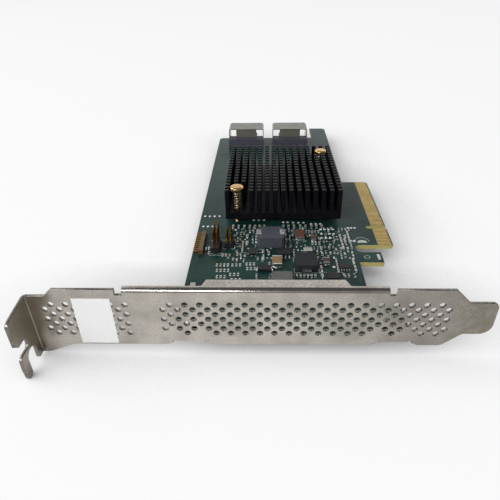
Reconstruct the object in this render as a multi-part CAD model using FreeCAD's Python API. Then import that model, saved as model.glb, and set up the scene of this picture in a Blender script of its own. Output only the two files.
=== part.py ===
import FreeCAD, Part
import math
import os

# Sizes are in millimetres. The layout has X from the screw tab's upper face towards the tongue tip,
# Y from the bracket's outer face back along the board, and Z up from the board's component side.

# Circuit board
BOARD_THICKNESS = 1.57
BOARD_HEIGHT = 68.9
CARD_EDGE_FROM_TIP = 14.25
BOARD_FRONT_GAP = 0.3
BOARD_REAR = 153.5
REAR_ARM_END = 168.5
REAR_ARM_WIDTH = 8.4
BOARD_CORNER = 2.0
CARD_EDGE_CHAMFER = 0.8

# Card edge
FACE_TO_KEY = 57.15
KEY_WIDTH = 1.9
KEY_DEPTH = 7.6
CONTACT_PITCH = 1.0
CONTACT_WIDTH = 0.7
CONTACT_LENGTH = 4.7
CONTACT_FILM = 0.06
CONTACTS_BEFORE_KEY = 11
CONTACTS_AFTER_KEY = 38
KEY_TO_CONTACT = 1.5
CONTACT_END_MARGIN = 0.6
EDGE_TONGUE_DEPTH = 11.0
BEVEL_LENGTH = 0.7
BEVEL_DEPTH = 0.3
RETENTION_GAP = 4.4
LUG_LENGTH = 6.1
LUG_REACH = 5.4
FRONT_EDGE_INSET = 13.5

# Bracket sheet
SHEET = 0.86
BEND_INSIDE = 0.25
BRACKET_LENGTH = 120.02
BRACKET_WIDTH = 18.42
BRACKET_BELOW_BOARD = 1.25

# Tongue and shoulders at the bracket's lower end
TONGUE_LENGTH = 7.27
TONGUE_INSET = 4.115
SHOULDER_LENGTH = 4.1
SHOULDER_SWEEP = 4.8
TONGUE_CORNER = 1.6
TONGUE_SWEPT_CORNER = 3.2

# Screw tab at the bracket's upper end
SCREW_TAB_DEPTH = 9.9
SCREW_TAB_SET_BACK = 2.1
SCREW_TAB_FALL = 0.9
SCREW_TAB_DROP = 2.9
SCREW_TAB_CORNER = 1.4
SLANT_START = 5.7
SLANT_LENGTH = 2.2
FLARE_START = 2.8
FLARE_LENGTH = 7.4
FLARE_RADIUS = 5.0
SCREW_NOTCH_WIDTH = 4.42
SCREW_NOTCH_FROM_FACE = 4.6
SCREW_NOTCH_HEIGHT = 5.8
SCREW_NOTCH_CORNER = 0.8
HOOK_NECK = 0.95
HOOK_SLOT = 3.2
HOOK_SLOT_REACH = 2.0
HOOK_SLOT_CHAMFER = 1.2
HOOK_INSET = 0.2
HOOK_TAPER = 0.5
HOOK_OVERHANG = 1.05
HOOK_ROUND = 1.05

# Lip folded back along the bracket's upper long edge
LIP_START = 25.6
LIP_END_FROM_TIP = 27.62
LIP_DEPTH = 1.75
LIP_TAB_FROM_UPPER_EDGE = 9.63
LIP_TAB_FROM_LIP_END = 10.4
LIP_TAB_DEPTH = 4.35
LIP_TAB_FOOT = 1.0
LIP_NOTCH = 1.8
LIP_NOTCH_DEPTH = 0.6

# Tabs folded back under the board
BOARD_TAB_FROM_UPPER_EDGE = 1.13
BOARD_TAB_FROM_CARD_EDGE = 13.97
BOARD_TAB_WIDTH = 7.55
BOARD_TAB_DEPTH = 9.0
BOARD_TAB_CHAMFER = 1.2
BOARD_TAB_RELIEF = 0.9
RELIEF_RAMP = 1.6
RELIEF_RISE = 0.7
EAR_MARGIN = 0.85
EAR_DEPTH = 12.0

# Screws through the board into the bracket's tabs
SCREW_DIAMETER = 3.0
SCREW_HEAD_DIAMETER = 5.0
SCREW_HEAD_HEIGHT = 1.7
SCREW_END = 0.3
SCREW_FROM_FACE = 5.4
BOARD_HOLE_CLEARANCE = 0.2
THREAD_CLEARANCE = 0.05

# Vents
VENT_WIDTH = 1.6
VENT_PITCH = 3.81
VENT_ROW_PITCH = 1.5875
VENT_ROWS = 7
VENT_TOP_DROP = 4.8
VENT_FIRST = 6.87
VENT_LEFT_COUNT = 6
VENT_SKIPPED = 2
VENT_END_GAP = 0.7
VENT_RELIEF_MARGIN = 2.2

# Label
LABEL_START = 12.5
LABEL_WIDTH = 9.85
LABEL_HEIGHT = 15.1
LABEL_RISE = 0.55
LABEL_FILM = 0.1

# Controller under the heat sink
CHIP_SIDE = 31.0
CHIP_BASE = 1.25
CHIP_CAP_SIDE = 23.0
CHIP_CAP = 0.75
THERMAL_PAD = 0.3

# Heat sink
SINK_FROM_UPPER_EDGE = 10.03
SINK_FROM_FACE = 59.3
SINK_WIDTH = 42.3
SINK_LENGTH = 45.2
SINK_BASE = 2.7
SINK_PIN_HEIGHT = 8.95
SINK_COLUMNS = 15
SINK_ROWS = 10
SINK_PIN_WIDTH = 1.6
SINK_PIN_DEPTH = 2.8

# Brass pins that hold the heat sink down, and their springs
FIXING_FROM_SIDE = 4.25
FIXING_FROM_FRONT = 3.2
FIXING_FROM_REAR = 6.3
FIXING_HEAD_DIAMETER = 4.9
FIXING_HEAD_HEIGHT = 1.3
FIXING_HEAD_PROUD = 0.25
FIXING_SHANK = 1.6
FIXING_BARB = 2.4
FIXING_BARB_HEIGHT = 0.9
FIXING_TIP_LENGTH = 1.8
FIXING_CLEARANCE = 0.15
SPRING_OUTSIDE = 2.6
SPRING_INSIDE = 1.9

# Cable sockets
SOCKET_COUNT = 2
SOCKET_FIRST = 5.8
SOCKET_PITCH = 22.5
SOCKET_WIDTH = 17.8
SOCKET_HEIGHT = 8.5
SOCKET_DEPTH = 10.6
SOCKET_SET_BACK = 0.5
SOCKET_WALL = 0.3
SOCKET_BEND = 0.8
SOCKET_FIT = 0.05
HOUSING_FRONT = 3.8
HOUSING_HEIGHT = 4.5
HOUSING_WALL = 1.4
HOUSING_POST_WIDTH = 10.4
SOCKET_TONGUE_WIDTH = 11.0
SOCKET_TONGUE_RISE = 2.6
SOCKET_TONGUE = 1.0
SOCKET_TONGUE_SET_BACK = 1.4

# Pin headers
HEADER_PITCH = 1.27
HEADER_PIN = 0.45
HEADER_MARGIN = 0.75
HEADER_ROWS = 2
TALL_HEADER_PLACE = (7.85, 44.1)
TALL_HEADER_COUNT = 6
TALL_HEADER_BASE = 2.0
TALL_HEADER_PIN_TOP = 8.0
SHORT_HEADER_PLACE = (12.1, 45.7)
SHORT_HEADER_COUNT = 4
SHORT_HEADER_BASE = 2.0
SHORT_HEADER_PIN_TOP = 6.0
EDGE_HEADER_PLACE = (2.85, 45.7)
EDGE_HEADER_COUNT = 10
EDGE_HEADER_BASE = 1.6
EDGE_HEADER_REACH = 1.9

# Inductors
POWER_INDUCTOR_PLACE = (26.5, 47.1)
POWER_INDUCTOR_LENGTH = 9.0
POWER_INDUCTOR_WIDTH = 7.8
POWER_INDUCTOR_HEIGHT = 4.0
CLIP_SHEET = 0.25
CLIP_WIDTH = 3.4
CLIP_RETURN = 1.3
FILTER_INDUCTOR_PLACE = (37.9, 33.1)
FILTER_INDUCTOR_LENGTH = 6.8
FILTER_INDUCTOR_WIDTH = 7.6
FILTER_INDUCTOR_HEIGHT = 2.4
FILTER_TERMINAL_WIDTH = 2.8
FILTER_TERMINAL_HEIGHT = 1.1
FILTER_TERMINAL_REACH = 0.7
INDUCTOR_CHAMFER = 0.6

# Chips with leads along two sides
LEAD_REACH = 0.9
CHIP_STAND_OFF = 0.1
REGULATOR_PLACE = (30.8, 39.3)
REGULATOR_LENGTH = 4.9
REGULATOR_WIDTH = 3.6
REGULATOR_HEIGHT = 1.5
MEMORY_PLACE = (45.7, 26.0)
MEMORY_LENGTH = 3.9
MEMORY_WIDTH = 3.0
MEMORY_HEIGHT = 1.1
LOGIC_PLACE = (50.1, 31.5)
LOGIC_LENGTH = 3.3
LOGIC_WIDTH = 2.4
LOGIC_HEIGHT = 0.9
LEADS_A_SIDE = 4

# Larger chip parts
BULK_CAPACITOR_PLACE = (28.5, 33.6)
BULK_CAPACITOR_LENGTH = 5.0
BULK_CAPACITOR_WIDTH = 3.2
BULK_CAPACITOR_HEIGHT = 1.8
TANTALUM_PLACE = (36.8, 50.6)
TANTALUM_LENGTH = 5.4
TANTALUM_WIDTH = 3.2
TANTALUM_HEIGHT = 1.4
DIODE_PLACE = (24.45, 30.4)
DIODE_LENGTH = 2.6
DIODE_WIDTH = 4.3
DIODE_HEIGHT = 1.2
BEAD_PLACE = (41.6, 48.9)
BEAD_LENGTH = 3.2
BEAD_WIDTH = 1.6
BEAD_HEIGHT = 1.0
SHUNT_PLACE = (44.5, 34.4)
SHUNT_LENGTH = 3.0
SHUNT_WIDTH = 2.2
SHUNT_HEIGHT = 1.2

# Clock oscillator
OSCILLATOR_PLACE = (29.9, 25.0)
OSCILLATOR_LENGTH = 7.0
OSCILLATOR_WIDTH = 5.0
OSCILLATOR_BASE = 0.9
OSCILLATOR_LID = 0.9
OSCILLATOR_RIM = 0.35

# Small chip parts, with places from the board's upper edge and the bracket's outer face
CHIP_PART_LENGTH = 1.6
CHIP_PART_WIDTH = 0.8
CAPACITOR_HEIGHT = 0.8
RESISTOR_HEIGHT = 0.45
CAPACITOR_ROW = 57.2
CAPACITOR_PLACES = (
    12.9, 14.9, 17.0, 19.0, 20.9, 22.6, 24.3, 31.3, 33.2, 35.2, 37.5, 39.4, 41.6, 43.4, 45.4,
)
RESISTOR_PLACES = (
    (15.9, 49.3), (15.9, 44.7), (17.9, 39.0), (21.7, 40.3), (33.3, 44.5), (35.4, 44.5),
    (47.1, 45.9), (49.2, 49.2), (49.0, 40.3), (51.2, 37.9), (46.1, 52.6), (52.6, 27.0),
)

# Status light at the board's upper front corner
LIGHT_PLACE = (2.8, 20.6)
LIGHT_LENGTH = 1.6
LIGHT_WIDTH = 2.4
LIGHT_HEIGHT = 1.4
DRIVER_PLACE = (4.9, 20.6)

# Levels and edges that follow from the sizes above
BEND_OUTSIDE = SHEET + BEND_INSIDE
SOLDER_SIDE = -BOARD_THICKNESS
BRACKET_BOTTOM = SOLDER_SIDE - BRACKET_BELOW_BOARD
BRACKET_TOP = BRACKET_BOTTOM + BRACKET_WIDTH
CARD_EDGE = BRACKET_LENGTH - CARD_EDGE_FROM_TIP
BOARD_UPPER_EDGE = CARD_EDGE - BOARD_HEIGHT
BOARD_FRONT = BEND_OUTSIDE + BOARD_FRONT_GAP
EDGE_FRONT = FACE_TO_KEY - KEY_TO_CONTACT - CONTACT_PITCH * (CONTACTS_BEFORE_KEY - 1) - CONTACT_END_MARGIN
EDGE_REAR = FACE_TO_KEY + KEY_TO_CONTACT + CONTACT_PITCH * (CONTACTS_AFTER_KEY - 1) + CONTACT_END_MARGIN
SHOULDER_START = BRACKET_LENGTH - TONGUE_LENGTH - SHOULDER_LENGTH
LIP_END = BRACKET_LENGTH - LIP_END_FROM_TIP
LIP_TAB_START = BOARD_UPPER_EDGE + LIP_TAB_FROM_UPPER_EDGE
LIP_TAB_END = LIP_END - LIP_TAB_FROM_LIP_END
BOARD_TAB_STARTS = (BOARD_UPPER_EDGE + BOARD_TAB_FROM_UPPER_EDGE, CARD_EDGE - BOARD_TAB_FROM_CARD_EDGE)
SCREW_CENTRES = [start + BOARD_TAB_WIDTH / 2 for start in BOARD_TAB_STARTS]
SINK_BOTTOM = CHIP_BASE + CHIP_CAP + THERMAL_PAD
SINK_TOP = SINK_BOTTOM + SINK_BASE + SINK_PIN_HEIGHT
SINK_LEFT = BOARD_UPPER_EDGE + SINK_FROM_UPPER_EDGE
SINK_CENTRE = (SINK_FROM_UPPER_EDGE + SINK_WIDTH / 2, SINK_FROM_FACE + SINK_LENGTH / 2)
FIXINGS = (
    (SINK_LEFT + FIXING_FROM_SIDE, SINK_FROM_FACE + FIXING_FROM_FRONT),
    (SINK_LEFT + SINK_WIDTH - FIXING_FROM_SIDE, SINK_FROM_FACE + SINK_LENGTH - FIXING_FROM_REAR),
)

# The exported origin is on the card edge at the middle of the key and of the board's thickness
ORIGIN = FreeCAD.Vector(CARD_EDGE, FACE_TO_KEY, SOLDER_SIDE / 2)

# Small round pieces and their holes have this many sides
ROUND_SIDES = 10

# Cutting shapes run this far past the sheet or board that they cut
OVERCUT = 1.0

# Where two rounded corners meet, no straight edge is drawn between them
SHORTEST_EDGE = 1e-6


def point(axis, u, v, level):
    """Point at a level on the named axis, with u and v on the other two axes in X, Y, Z order."""
    places = {"X": (level, u, v), "Y": (u, level, v), "Z": (u, v, level)}
    return FreeCAD.Vector(*places[axis])


def outline(axis, corners, level):
    """Closed wire through corners (u, v) or (u, v, radius), with the given corners rounded."""
    flat = [FreeCAD.Vector(corner[0], corner[1], 0) for corner in corners]
    bends = []
    for index, corner in enumerate(corners):
        radius = corner[2] if len(corner) > 2 else 0
        here = flat[index]
        if radius == 0:
            bends.append((here,))
            continue
        back = (flat[index - 1] - here).normalize()
        ahead = (flat[(index + 1) % len(flat)] - here).normalize()
        half = back.getAngle(ahead) / 2
        reach = radius / math.tan(half)
        middle = (back + ahead).normalize() * (radius / math.sin(half) - radius)
        bends.append((here + back * reach, here + middle, here + ahead * reach))
    edges = []
    for index, bend in enumerate(bends):
        placed = [point(axis, p.x, p.y, level) for p in bend]
        if len(placed) == 3:
            edges.append(Part.Arc(*placed).toShape())
        following = bends[(index + 1) % len(bends)][0]
        if (following - bend[-1]).Length > SHORTEST_EDGE:
            edges.append(Part.makeLine(placed[-1], point(axis, following.x, following.y, level)))
    return Part.Wire(edges)


def prism(axis, corners, start, end):
    """Solid with a flat outline, drawn out along the named axis from start to end."""
    return Part.Face(outline(axis, corners, start)).extrude(point(axis, 0, 0, end - start))


def block(x_range, y_range, z_range):
    """Plain box between two limits on each axis."""
    lows, highs = zip(x_range, y_range, z_range)
    sides = [high - low for low, high in zip(lows, highs)]
    return Part.makeBox(*sides, FreeCAD.Vector(*lows))


def chamfered_block(length, width, height, chamfer):
    """Box centred on the Z axis with chamfered upright edges, standing on the board."""
    half_length = length / 2
    half_width = width / 2
    short_length = half_length - chamfer
    short_width = half_width - chamfer
    return prism("Z", [
        (-short_length, -half_width), (short_length, -half_width),
        (half_length, -short_width), (half_length, short_width),
        (short_length, half_width), (-short_length, half_width),
        (-half_length, short_width), (-half_length, -short_width),
    ], 0, height)


def centred_block(length, width, base, height):
    """Plain box centred on the Z axis, from a base level up."""
    return block((-length / 2, length / 2), (-width / 2, width / 2), (base, base + height))


def seat(shape, place):
    """Shape moved to its place on the board, from the upper edge and the bracket's outer face."""
    return shape.translated(FreeCAD.Vector(BOARD_UPPER_EDGE + place[0], place[1], 0))


def fused(shapes):
    """One clean solid from touching shapes."""
    return shapes[0].fuse(shapes[1:]).removeSplitter()


def polygon(diameter, sides):
    """Corners of a regular polygon about the origin, measured across its corners."""
    turns = [2 * math.pi * step / sides for step in range(sides)]
    return [(diameter / 2 * math.cos(turn), diameter / 2 * math.sin(turn)) for turn in turns]


def rod(centre, diameter, start, end):
    """Upright round piece, or the cutter for its hole, at a centre on the board between two levels."""
    upright = prism("Z", polygon(diameter, ROUND_SIDES), start, end)
    return upright.translated(FreeCAD.Vector(centre[0], centre[1], 0))


def face_plate_outline():
    """Corners of the face plate on X and Z, from the screw tab's fold round by the tongue."""
    tab_top = BRACKET_TOP - SCREW_TAB_SET_BACK
    tab_foot = BRACKET_BOTTOM - SCREW_TAB_DROP
    tongue_start = BRACKET_LENGTH - TONGUE_LENGTH
    tongue_top = BRACKET_TOP - TONGUE_INSET
    tongue_bottom = BRACKET_BOTTOM + TONGUE_INSET
    lip_root = BRACKET_TOP - BEND_OUTSIDE
    notch_floor = lip_root - LIP_NOTCH_DEPTH
    tab_root = SOLDER_SIDE + BEND_INSIDE
    corners = [
        (-SHEET, tab_foot),
        (FLARE_START, tab_foot, FLARE_RADIUS),
        (FLARE_START + FLARE_LENGTH, BRACKET_BOTTOM, FLARE_RADIUS),
    ]
    for start in BOARD_TAB_STARTS:
        left = start - BOARD_TAB_RELIEF
        right = start + BOARD_TAB_WIDTH + BOARD_TAB_RELIEF
        corners += [
            (left - RELIEF_RAMP, BRACKET_BOTTOM), (left, BRACKET_BOTTOM + RELIEF_RISE), (left, tab_root),
            (right, tab_root), (right, BRACKET_BOTTOM + RELIEF_RISE), (right + RELIEF_RAMP, BRACKET_BOTTOM),
        ]
    corners += [
        (tongue_start - SHOULDER_SWEEP, BRACKET_BOTTOM, TONGUE_SWEPT_CORNER),
        (tongue_start, tongue_bottom, TONGUE_CORNER),
        (BRACKET_LENGTH, tongue_bottom, TONGUE_SWEPT_CORNER),
        (BRACKET_LENGTH, tongue_top, TONGUE_CORNER),
        (tongue_start, tongue_top),
        (SHOULDER_START, BRACKET_TOP),
        (LIP_END + LIP_NOTCH, BRACKET_TOP),
        (LIP_END + LIP_NOTCH, notch_floor), (LIP_END, notch_floor), (LIP_END, lip_root),
        (LIP_START, lip_root), (LIP_START, notch_floor), (LIP_START - LIP_NOTCH, notch_floor),
        (LIP_START - LIP_NOTCH, BRACKET_TOP),
        (SLANT_START + SLANT_LENGTH, BRACKET_TOP),
        (SLANT_START, tab_top),
        (-SHEET, tab_top),
    ]
    return corners


def screw_tab_outline():
    """Corners of the screw tab on Y and Z: the screw notch and the hooked finger beside it."""
    tab_top = BRACKET_TOP - SCREW_TAB_SET_BACK
    tab_foot = BRACKET_BOTTOM - SCREW_TAB_DROP
    half_notch = SCREW_NOTCH_WIDTH / 2
    notch_inner = -SCREW_NOTCH_FROM_FACE + half_notch
    notch_outer = -SCREW_NOTCH_FROM_FACE - half_notch
    notch_top = tab_foot + SCREW_NOTCH_HEIGHT
    hook_top = notch_top + HOOK_NECK
    slot_top = hook_top + HOOK_SLOT
    slot_round = HOOK_SLOT / 2.2
    slot_end = notch_outer + HOOK_SLOT_REACH
    hook_side = -SCREW_TAB_DEPTH + HOOK_INSET
    hook_foot = tab_foot - HOOK_OVERHANG
    return [
        (-BEND_INSIDE, tab_top),
        (-SCREW_TAB_DEPTH, tab_top - SCREW_TAB_FALL, SCREW_TAB_CORNER),
        (-SCREW_TAB_DEPTH, slot_top + HOOK_SLOT_CHAMFER),
        (-SCREW_TAB_DEPTH + HOOK_SLOT_CHAMFER, slot_top),
        (slot_end, slot_top, slot_round),
        (slot_end, hook_top, slot_round),
        (hook_side + HOOK_INSET, hook_top, SCREW_TAB_CORNER),
        (hook_side, (hook_top + hook_foot) / 2, FLARE_RADIUS),
        (hook_side + HOOK_TAPER, hook_foot, HOOK_ROUND),
        (notch_outer, hook_foot, HOOK_ROUND),
        (notch_outer, notch_top, half_notch * 0.99),
        (notch_inner, notch_top, half_notch * 0.99),
        (notch_inner, tab_foot, SCREW_NOTCH_CORNER),
        (-BEND_INSIDE, tab_foot),
    ]


def lip():
    """Strip folded back along the bracket's upper long edge, with its deeper middle tab."""
    root = BRACKET_TOP - BEND_OUTSIDE
    section = [
        (0, root), (0, BRACKET_TOP, BEND_OUTSIDE), (LIP_TAB_DEPTH, BRACKET_TOP),
        (LIP_TAB_DEPTH, BRACKET_TOP - SHEET), (SHEET, BRACKET_TOP - SHEET, BEND_INSIDE), (SHEET, root),
    ]
    plan = [
        (LIP_START, -OVERCUT), (LIP_END, -OVERCUT), (LIP_END, LIP_DEPTH),
        (LIP_TAB_END + LIP_TAB_FOOT, LIP_DEPTH), (LIP_TAB_END, LIP_TAB_DEPTH),
        (LIP_TAB_START, LIP_TAB_DEPTH), (LIP_TAB_START - LIP_TAB_FOOT, LIP_DEPTH),
        (LIP_START, LIP_DEPTH),
    ]
    strip = prism("X", section, LIP_START, LIP_END)
    return strip.common(prism("Z", plan, root - OVERCUT, BRACKET_TOP + OVERCUT))


def board_tab(start):
    """Tab folded back under the board, with a tapped hole."""
    end = start + BOARD_TAB_WIDTH
    root = SOLDER_SIDE + BEND_INSIDE
    section = [
        (0, root), (0, SOLDER_SIDE - SHEET, BEND_OUTSIDE), (BOARD_TAB_DEPTH, SOLDER_SIDE - SHEET),
        (BOARD_TAB_DEPTH, SOLDER_SIDE), (SHEET, SOLDER_SIDE, BEND_INSIDE), (SHEET, root),
    ]
    plan = [
        (start, -OVERCUT), (end, -OVERCUT), (end, BOARD_TAB_DEPTH - BOARD_TAB_CHAMFER),
        (end - BOARD_TAB_CHAMFER, BOARD_TAB_DEPTH), (start + BOARD_TAB_CHAMFER, BOARD_TAB_DEPTH),
        (start, BOARD_TAB_DEPTH - BOARD_TAB_CHAMFER),
    ]
    tab = prism("X", section, start, end)
    tab = tab.common(prism("Z", plan, SOLDER_SIDE - SHEET - OVERCUT, root + OVERCUT))
    centre = ((start + end) / 2, SCREW_FROM_FACE)
    hole = SCREW_DIAMETER + 2 * THREAD_CLEARANCE
    return tab.cut(rod(centre, hole, SOLDER_SIDE - SHEET - OVERCUT, root + OVERCUT))


def vent_places():
    """Centres of the vents on X and Z, in staggered rows with plain sheet under the label."""
    label_end = LABEL_START + LABEL_WIDTH
    reliefs = []
    for start in BOARD_TAB_STARTS:
        reliefs += [start - BOARD_TAB_RELIEF / 2, start + BOARD_TAB_WIDTH + BOARD_TAB_RELIEF / 2]
    places = []
    for row in range(VENT_ROWS):
        staggered = row % 2
        first = VENT_FIRST - staggered * VENT_PITCH / 2
        columns_that_fit = 1 + int((SHOULDER_START - VENT_END_GAP - first) / VENT_PITCH)
        columns = list(range(VENT_LEFT_COUNT))
        columns += list(range(VENT_LEFT_COUNT + VENT_SKIPPED, columns_that_fit))
        for column in columns:
            x = first + column * VENT_PITCH
            under_label = LABEL_START + VENT_WIDTH / 2 < x < label_end - VENT_WIDTH / 2
            beside_relief = any(abs(x - relief) < VENT_RELIEF_MARGIN for relief in reliefs)
            if under_label or (row == VENT_ROWS - 1 and beside_relief):
                continue
            places.append((x, BRACKET_TOP - VENT_TOP_DROP - row * VENT_ROW_PITCH))
    return places


def vents():
    """Six-sided cutters for all the vents."""
    across_corners = 2 * VENT_WIDTH / math.sqrt(3)
    cutter = prism("Y", polygon(across_corners, 6), -OVERCUT, SHEET + OVERCUT)
    return [cutter.translated(FreeCAD.Vector(x, 0, z)) for x, z in vent_places()]


def bracket():
    """One folded and pierced sheet: screw tab, face plate, lip, board tabs and tongue."""
    far_end = BRACKET_LENGTH + OVERCUT
    tab_end = -SCREW_TAB_DEPTH - OVERCUT
    bent_strip = prism("Z", [
        (0, tab_end), (0, SHEET, BEND_OUTSIDE), (far_end, SHEET),
        (far_end, 0), (SHEET, 0, BEND_INSIDE), (SHEET, tab_end),
    ], BRACKET_BOTTOM - SCREW_TAB_DROP - HOOK_OVERHANG - OVERCUT, BRACKET_TOP + OVERCUT)
    plate = bent_strip.common(prism("Y", face_plate_outline(), -BEND_INSIDE, SHEET + OVERCUT))
    screw_tab = bent_strip.common(prism("X", screw_tab_outline(), -OVERCUT, SHEET + OVERCUT))
    plate = plate.cut(Part.makeCompound(vents()))
    return fused([plate, screw_tab, lip()] + [board_tab(start) for start in BOARD_TAB_STARTS])


def bracket_label():
    """Bare sticker on the bracket's outer face."""
    low = BRACKET_BOTTOM + LABEL_RISE
    high = low + LABEL_HEIGHT
    end = LABEL_START + LABEL_WIDTH
    return block((LABEL_START, end), (-LABEL_FILM, 0), (low, high))


def bracket_screws():
    """Two screws that hold the board on the bracket's tabs."""
    screws = []
    for x in SCREW_CENTRES:
        centre = (x, SCREW_FROM_FACE)
        head = rod(centre, SCREW_HEAD_DIAMETER, 0, SCREW_HEAD_HEIGHT)
        shank = rod(centre, SCREW_DIAMETER, SOLDER_SIDE - SHEET - SCREW_END, 0)
        screws.append(fused([head, shank]))
    return Part.makeCompound(screws)


def board_outline():
    """Corners of the board on X and Y, from its upper front corner round by the card edge."""
    ear = BOARD_TAB_STARTS[-1] + BOARD_TAB_WIDTH + EAR_MARGIN
    front_edge = CARD_EDGE - FRONT_EDGE_INSET
    lug_rear = EDGE_FRONT - RETENTION_GAP
    lug_front = lug_rear - LUG_LENGTH
    lug_end = CARD_EDGE - LUG_REACH
    key_floor = CARD_EDGE - KEY_DEPTH
    key_round = KEY_WIDTH * 0.45
    rear_edge = CARD_EDGE - EDGE_TONGUE_DEPTH
    arm_side = rear_edge - REAR_ARM_WIDTH
    gap_round = RETENTION_GAP * 0.45
    return [
        (BOARD_UPPER_EDGE, BOARD_FRONT),
        (ear, BOARD_FRONT),
        (ear, EAR_DEPTH),
        (front_edge, EAR_DEPTH, BOARD_CORNER),
        (front_edge, lug_front),
        (lug_end, lug_front),
        (lug_end, lug_rear),
        (front_edge, lug_rear, gap_round),
        (front_edge, EDGE_FRONT, gap_round),
        (CARD_EDGE - CARD_EDGE_CHAMFER, EDGE_FRONT),
        (CARD_EDGE, EDGE_FRONT + CARD_EDGE_CHAMFER),
        (CARD_EDGE, FACE_TO_KEY - KEY_WIDTH / 2),
        (key_floor, FACE_TO_KEY - KEY_WIDTH / 2, key_round),
        (key_floor, FACE_TO_KEY + KEY_WIDTH / 2, key_round),
        (CARD_EDGE, FACE_TO_KEY + KEY_WIDTH / 2),
        (CARD_EDGE, EDGE_REAR - CARD_EDGE_CHAMFER),
        (CARD_EDGE - CARD_EDGE_CHAMFER, EDGE_REAR),
        (rear_edge, EDGE_REAR),
        (rear_edge, REAR_ARM_END, BOARD_CORNER),
        (arm_side, REAR_ARM_END),
        (arm_side, BOARD_REAR),
        (BOARD_UPPER_EDGE, BOARD_REAR, BOARD_CORNER),
    ]


def circuit_board():
    """Laminate with its key notch, bevelled card edge, retention gap and holes."""
    board = prism("Z", board_outline(), SOLDER_SIDE, 0)
    inner = CARD_EDGE - BEVEL_LENGTH
    outer = CARD_EDGE + BEVEL_LENGTH
    bevels = [
        prism("Y", [(inner, 0), (outer, 0), (outer, -2 * BEVEL_DEPTH)], EDGE_FRONT, EDGE_REAR),
        prism("Y", [(inner, SOLDER_SIDE), (outer, SOLDER_SIDE), (outer, SOLDER_SIDE + 2 * BEVEL_DEPTH)],
              EDGE_FRONT, EDGE_REAR),
    ]
    low = SOLDER_SIDE - OVERCUT
    screw_hole = SCREW_DIAMETER + 2 * BOARD_HOLE_CLEARANCE
    fixing_hole = FIXING_SHANK + 2 * FIXING_CLEARANCE
    holes = [rod((x, SCREW_FROM_FACE), screw_hole, low, OVERCUT) for x in SCREW_CENTRES]
    holes += [rod(centre, fixing_hole, low, OVERCUT) for centre in FIXINGS]
    return board.cut(Part.makeCompound(bevels)).cut(Part.makeCompound(holes))


def contacts(z_range):
    """Row of card-edge contacts on one side of the board."""
    steps = [-KEY_TO_CONTACT - CONTACT_PITCH * index for index in range(CONTACTS_BEFORE_KEY)]
    steps += [KEY_TO_CONTACT + CONTACT_PITCH * index for index in range(CONTACTS_AFTER_KEY)]
    end = CARD_EDGE - BEVEL_LENGTH
    x_range = (end - CONTACT_LENGTH, end)
    half = CONTACT_WIDTH / 2
    rows = []
    for step in steps:
        middle = FACE_TO_KEY + step
        rows.append(block(x_range, (middle - half, middle + half), z_range))
    return Part.makeCompound(rows)


def controller_chip():
    """Controller package: a square base with a raised square cap."""
    base = centred_block(CHIP_SIDE, CHIP_SIDE, 0, CHIP_BASE)
    cap = centred_block(CHIP_CAP_SIDE, CHIP_CAP_SIDE, CHIP_BASE, CHIP_CAP)
    return seat(fused([base, cap]), SINK_CENTRE)


def thermal_pad():
    """Soft pad between the controller's cap and the heat sink."""
    return seat(centred_block(CHIP_CAP_SIDE, CHIP_CAP_SIDE, CHIP_BASE + CHIP_CAP, THERMAL_PAD), SINK_CENTRE)


def heat_sink():
    """Base plate with a grid of upright pins, left out round the two fixings."""
    right = SINK_LEFT + SINK_WIDTH
    rear = SINK_FROM_FACE + SINK_LENGTH
    floor = SINK_BOTTOM + SINK_BASE
    half_width = SINK_PIN_WIDTH / 2
    half_depth = SINK_PIN_DEPTH / 2
    room = FIXING_HEAD_DIAMETER / 2 + FIXING_CLEARANCE
    column_pitch = (SINK_WIDTH - SINK_PIN_WIDTH) / (SINK_COLUMNS - 1)
    row_pitch = (SINK_LENGTH - SINK_PIN_DEPTH) / (SINK_ROWS - 1)
    solids = [block((SINK_LEFT, right), (SINK_FROM_FACE, rear), (SINK_BOTTOM, floor))]
    for column in range(SINK_COLUMNS):
        x = SINK_LEFT + half_width + column * column_pitch
        for row in range(SINK_ROWS):
            y = SINK_FROM_FACE + half_depth + row * row_pitch
            if any(abs(x - fix_x) < room + half_width and abs(y - fix_y) < room + half_depth
                   for fix_x, fix_y in FIXINGS):
                continue
            x_range = (x - half_width, x + half_width)
            solids.append(block(x_range, (y - half_depth, y + half_depth), (floor, SINK_TOP)))
    hole = FIXING_SHANK + 2 * FIXING_CLEARANCE
    holes = [rod(centre, hole, SINK_BOTTOM - OVERCUT, floor + OVERCUT) for centre in FIXINGS]
    return fused(solids).cut(Part.makeCompound(holes))


def heat_sink_pins():
    """Two brass pins with flat heads and barbed ends that snap under the board."""
    head_top = SINK_TOP + FIXING_HEAD_PROUD
    head_floor = head_top - FIXING_HEAD_HEIGHT
    pins = []
    for centre in FIXINGS:
        head = rod(centre, FIXING_HEAD_DIAMETER, head_floor, head_top)
        shank = rod(centre, FIXING_SHANK, SOLDER_SIDE - FIXING_TIP_LENGTH, head_floor)
        barb = rod(centre, FIXING_BARB, SOLDER_SIDE - FIXING_BARB_HEIGHT, SOLDER_SIDE)
        pins.append(fused([head, shank, barb]))
    return Part.makeCompound(pins)


def heat_sink_springs():
    """Two coil springs round the brass pins, drawn as sleeves of the coil's size."""
    floor = SINK_BOTTOM + SINK_BASE
    top = SINK_TOP + FIXING_HEAD_PROUD - FIXING_HEAD_HEIGHT
    sleeves = []
    for centre in FIXINGS:
        sleeve = rod(centre, SPRING_OUTSIDE, floor, top)
        sleeves.append(sleeve.cut(rod(centre, SPRING_INSIDE, floor, top)))
    return Part.makeCompound(sleeves)


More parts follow.
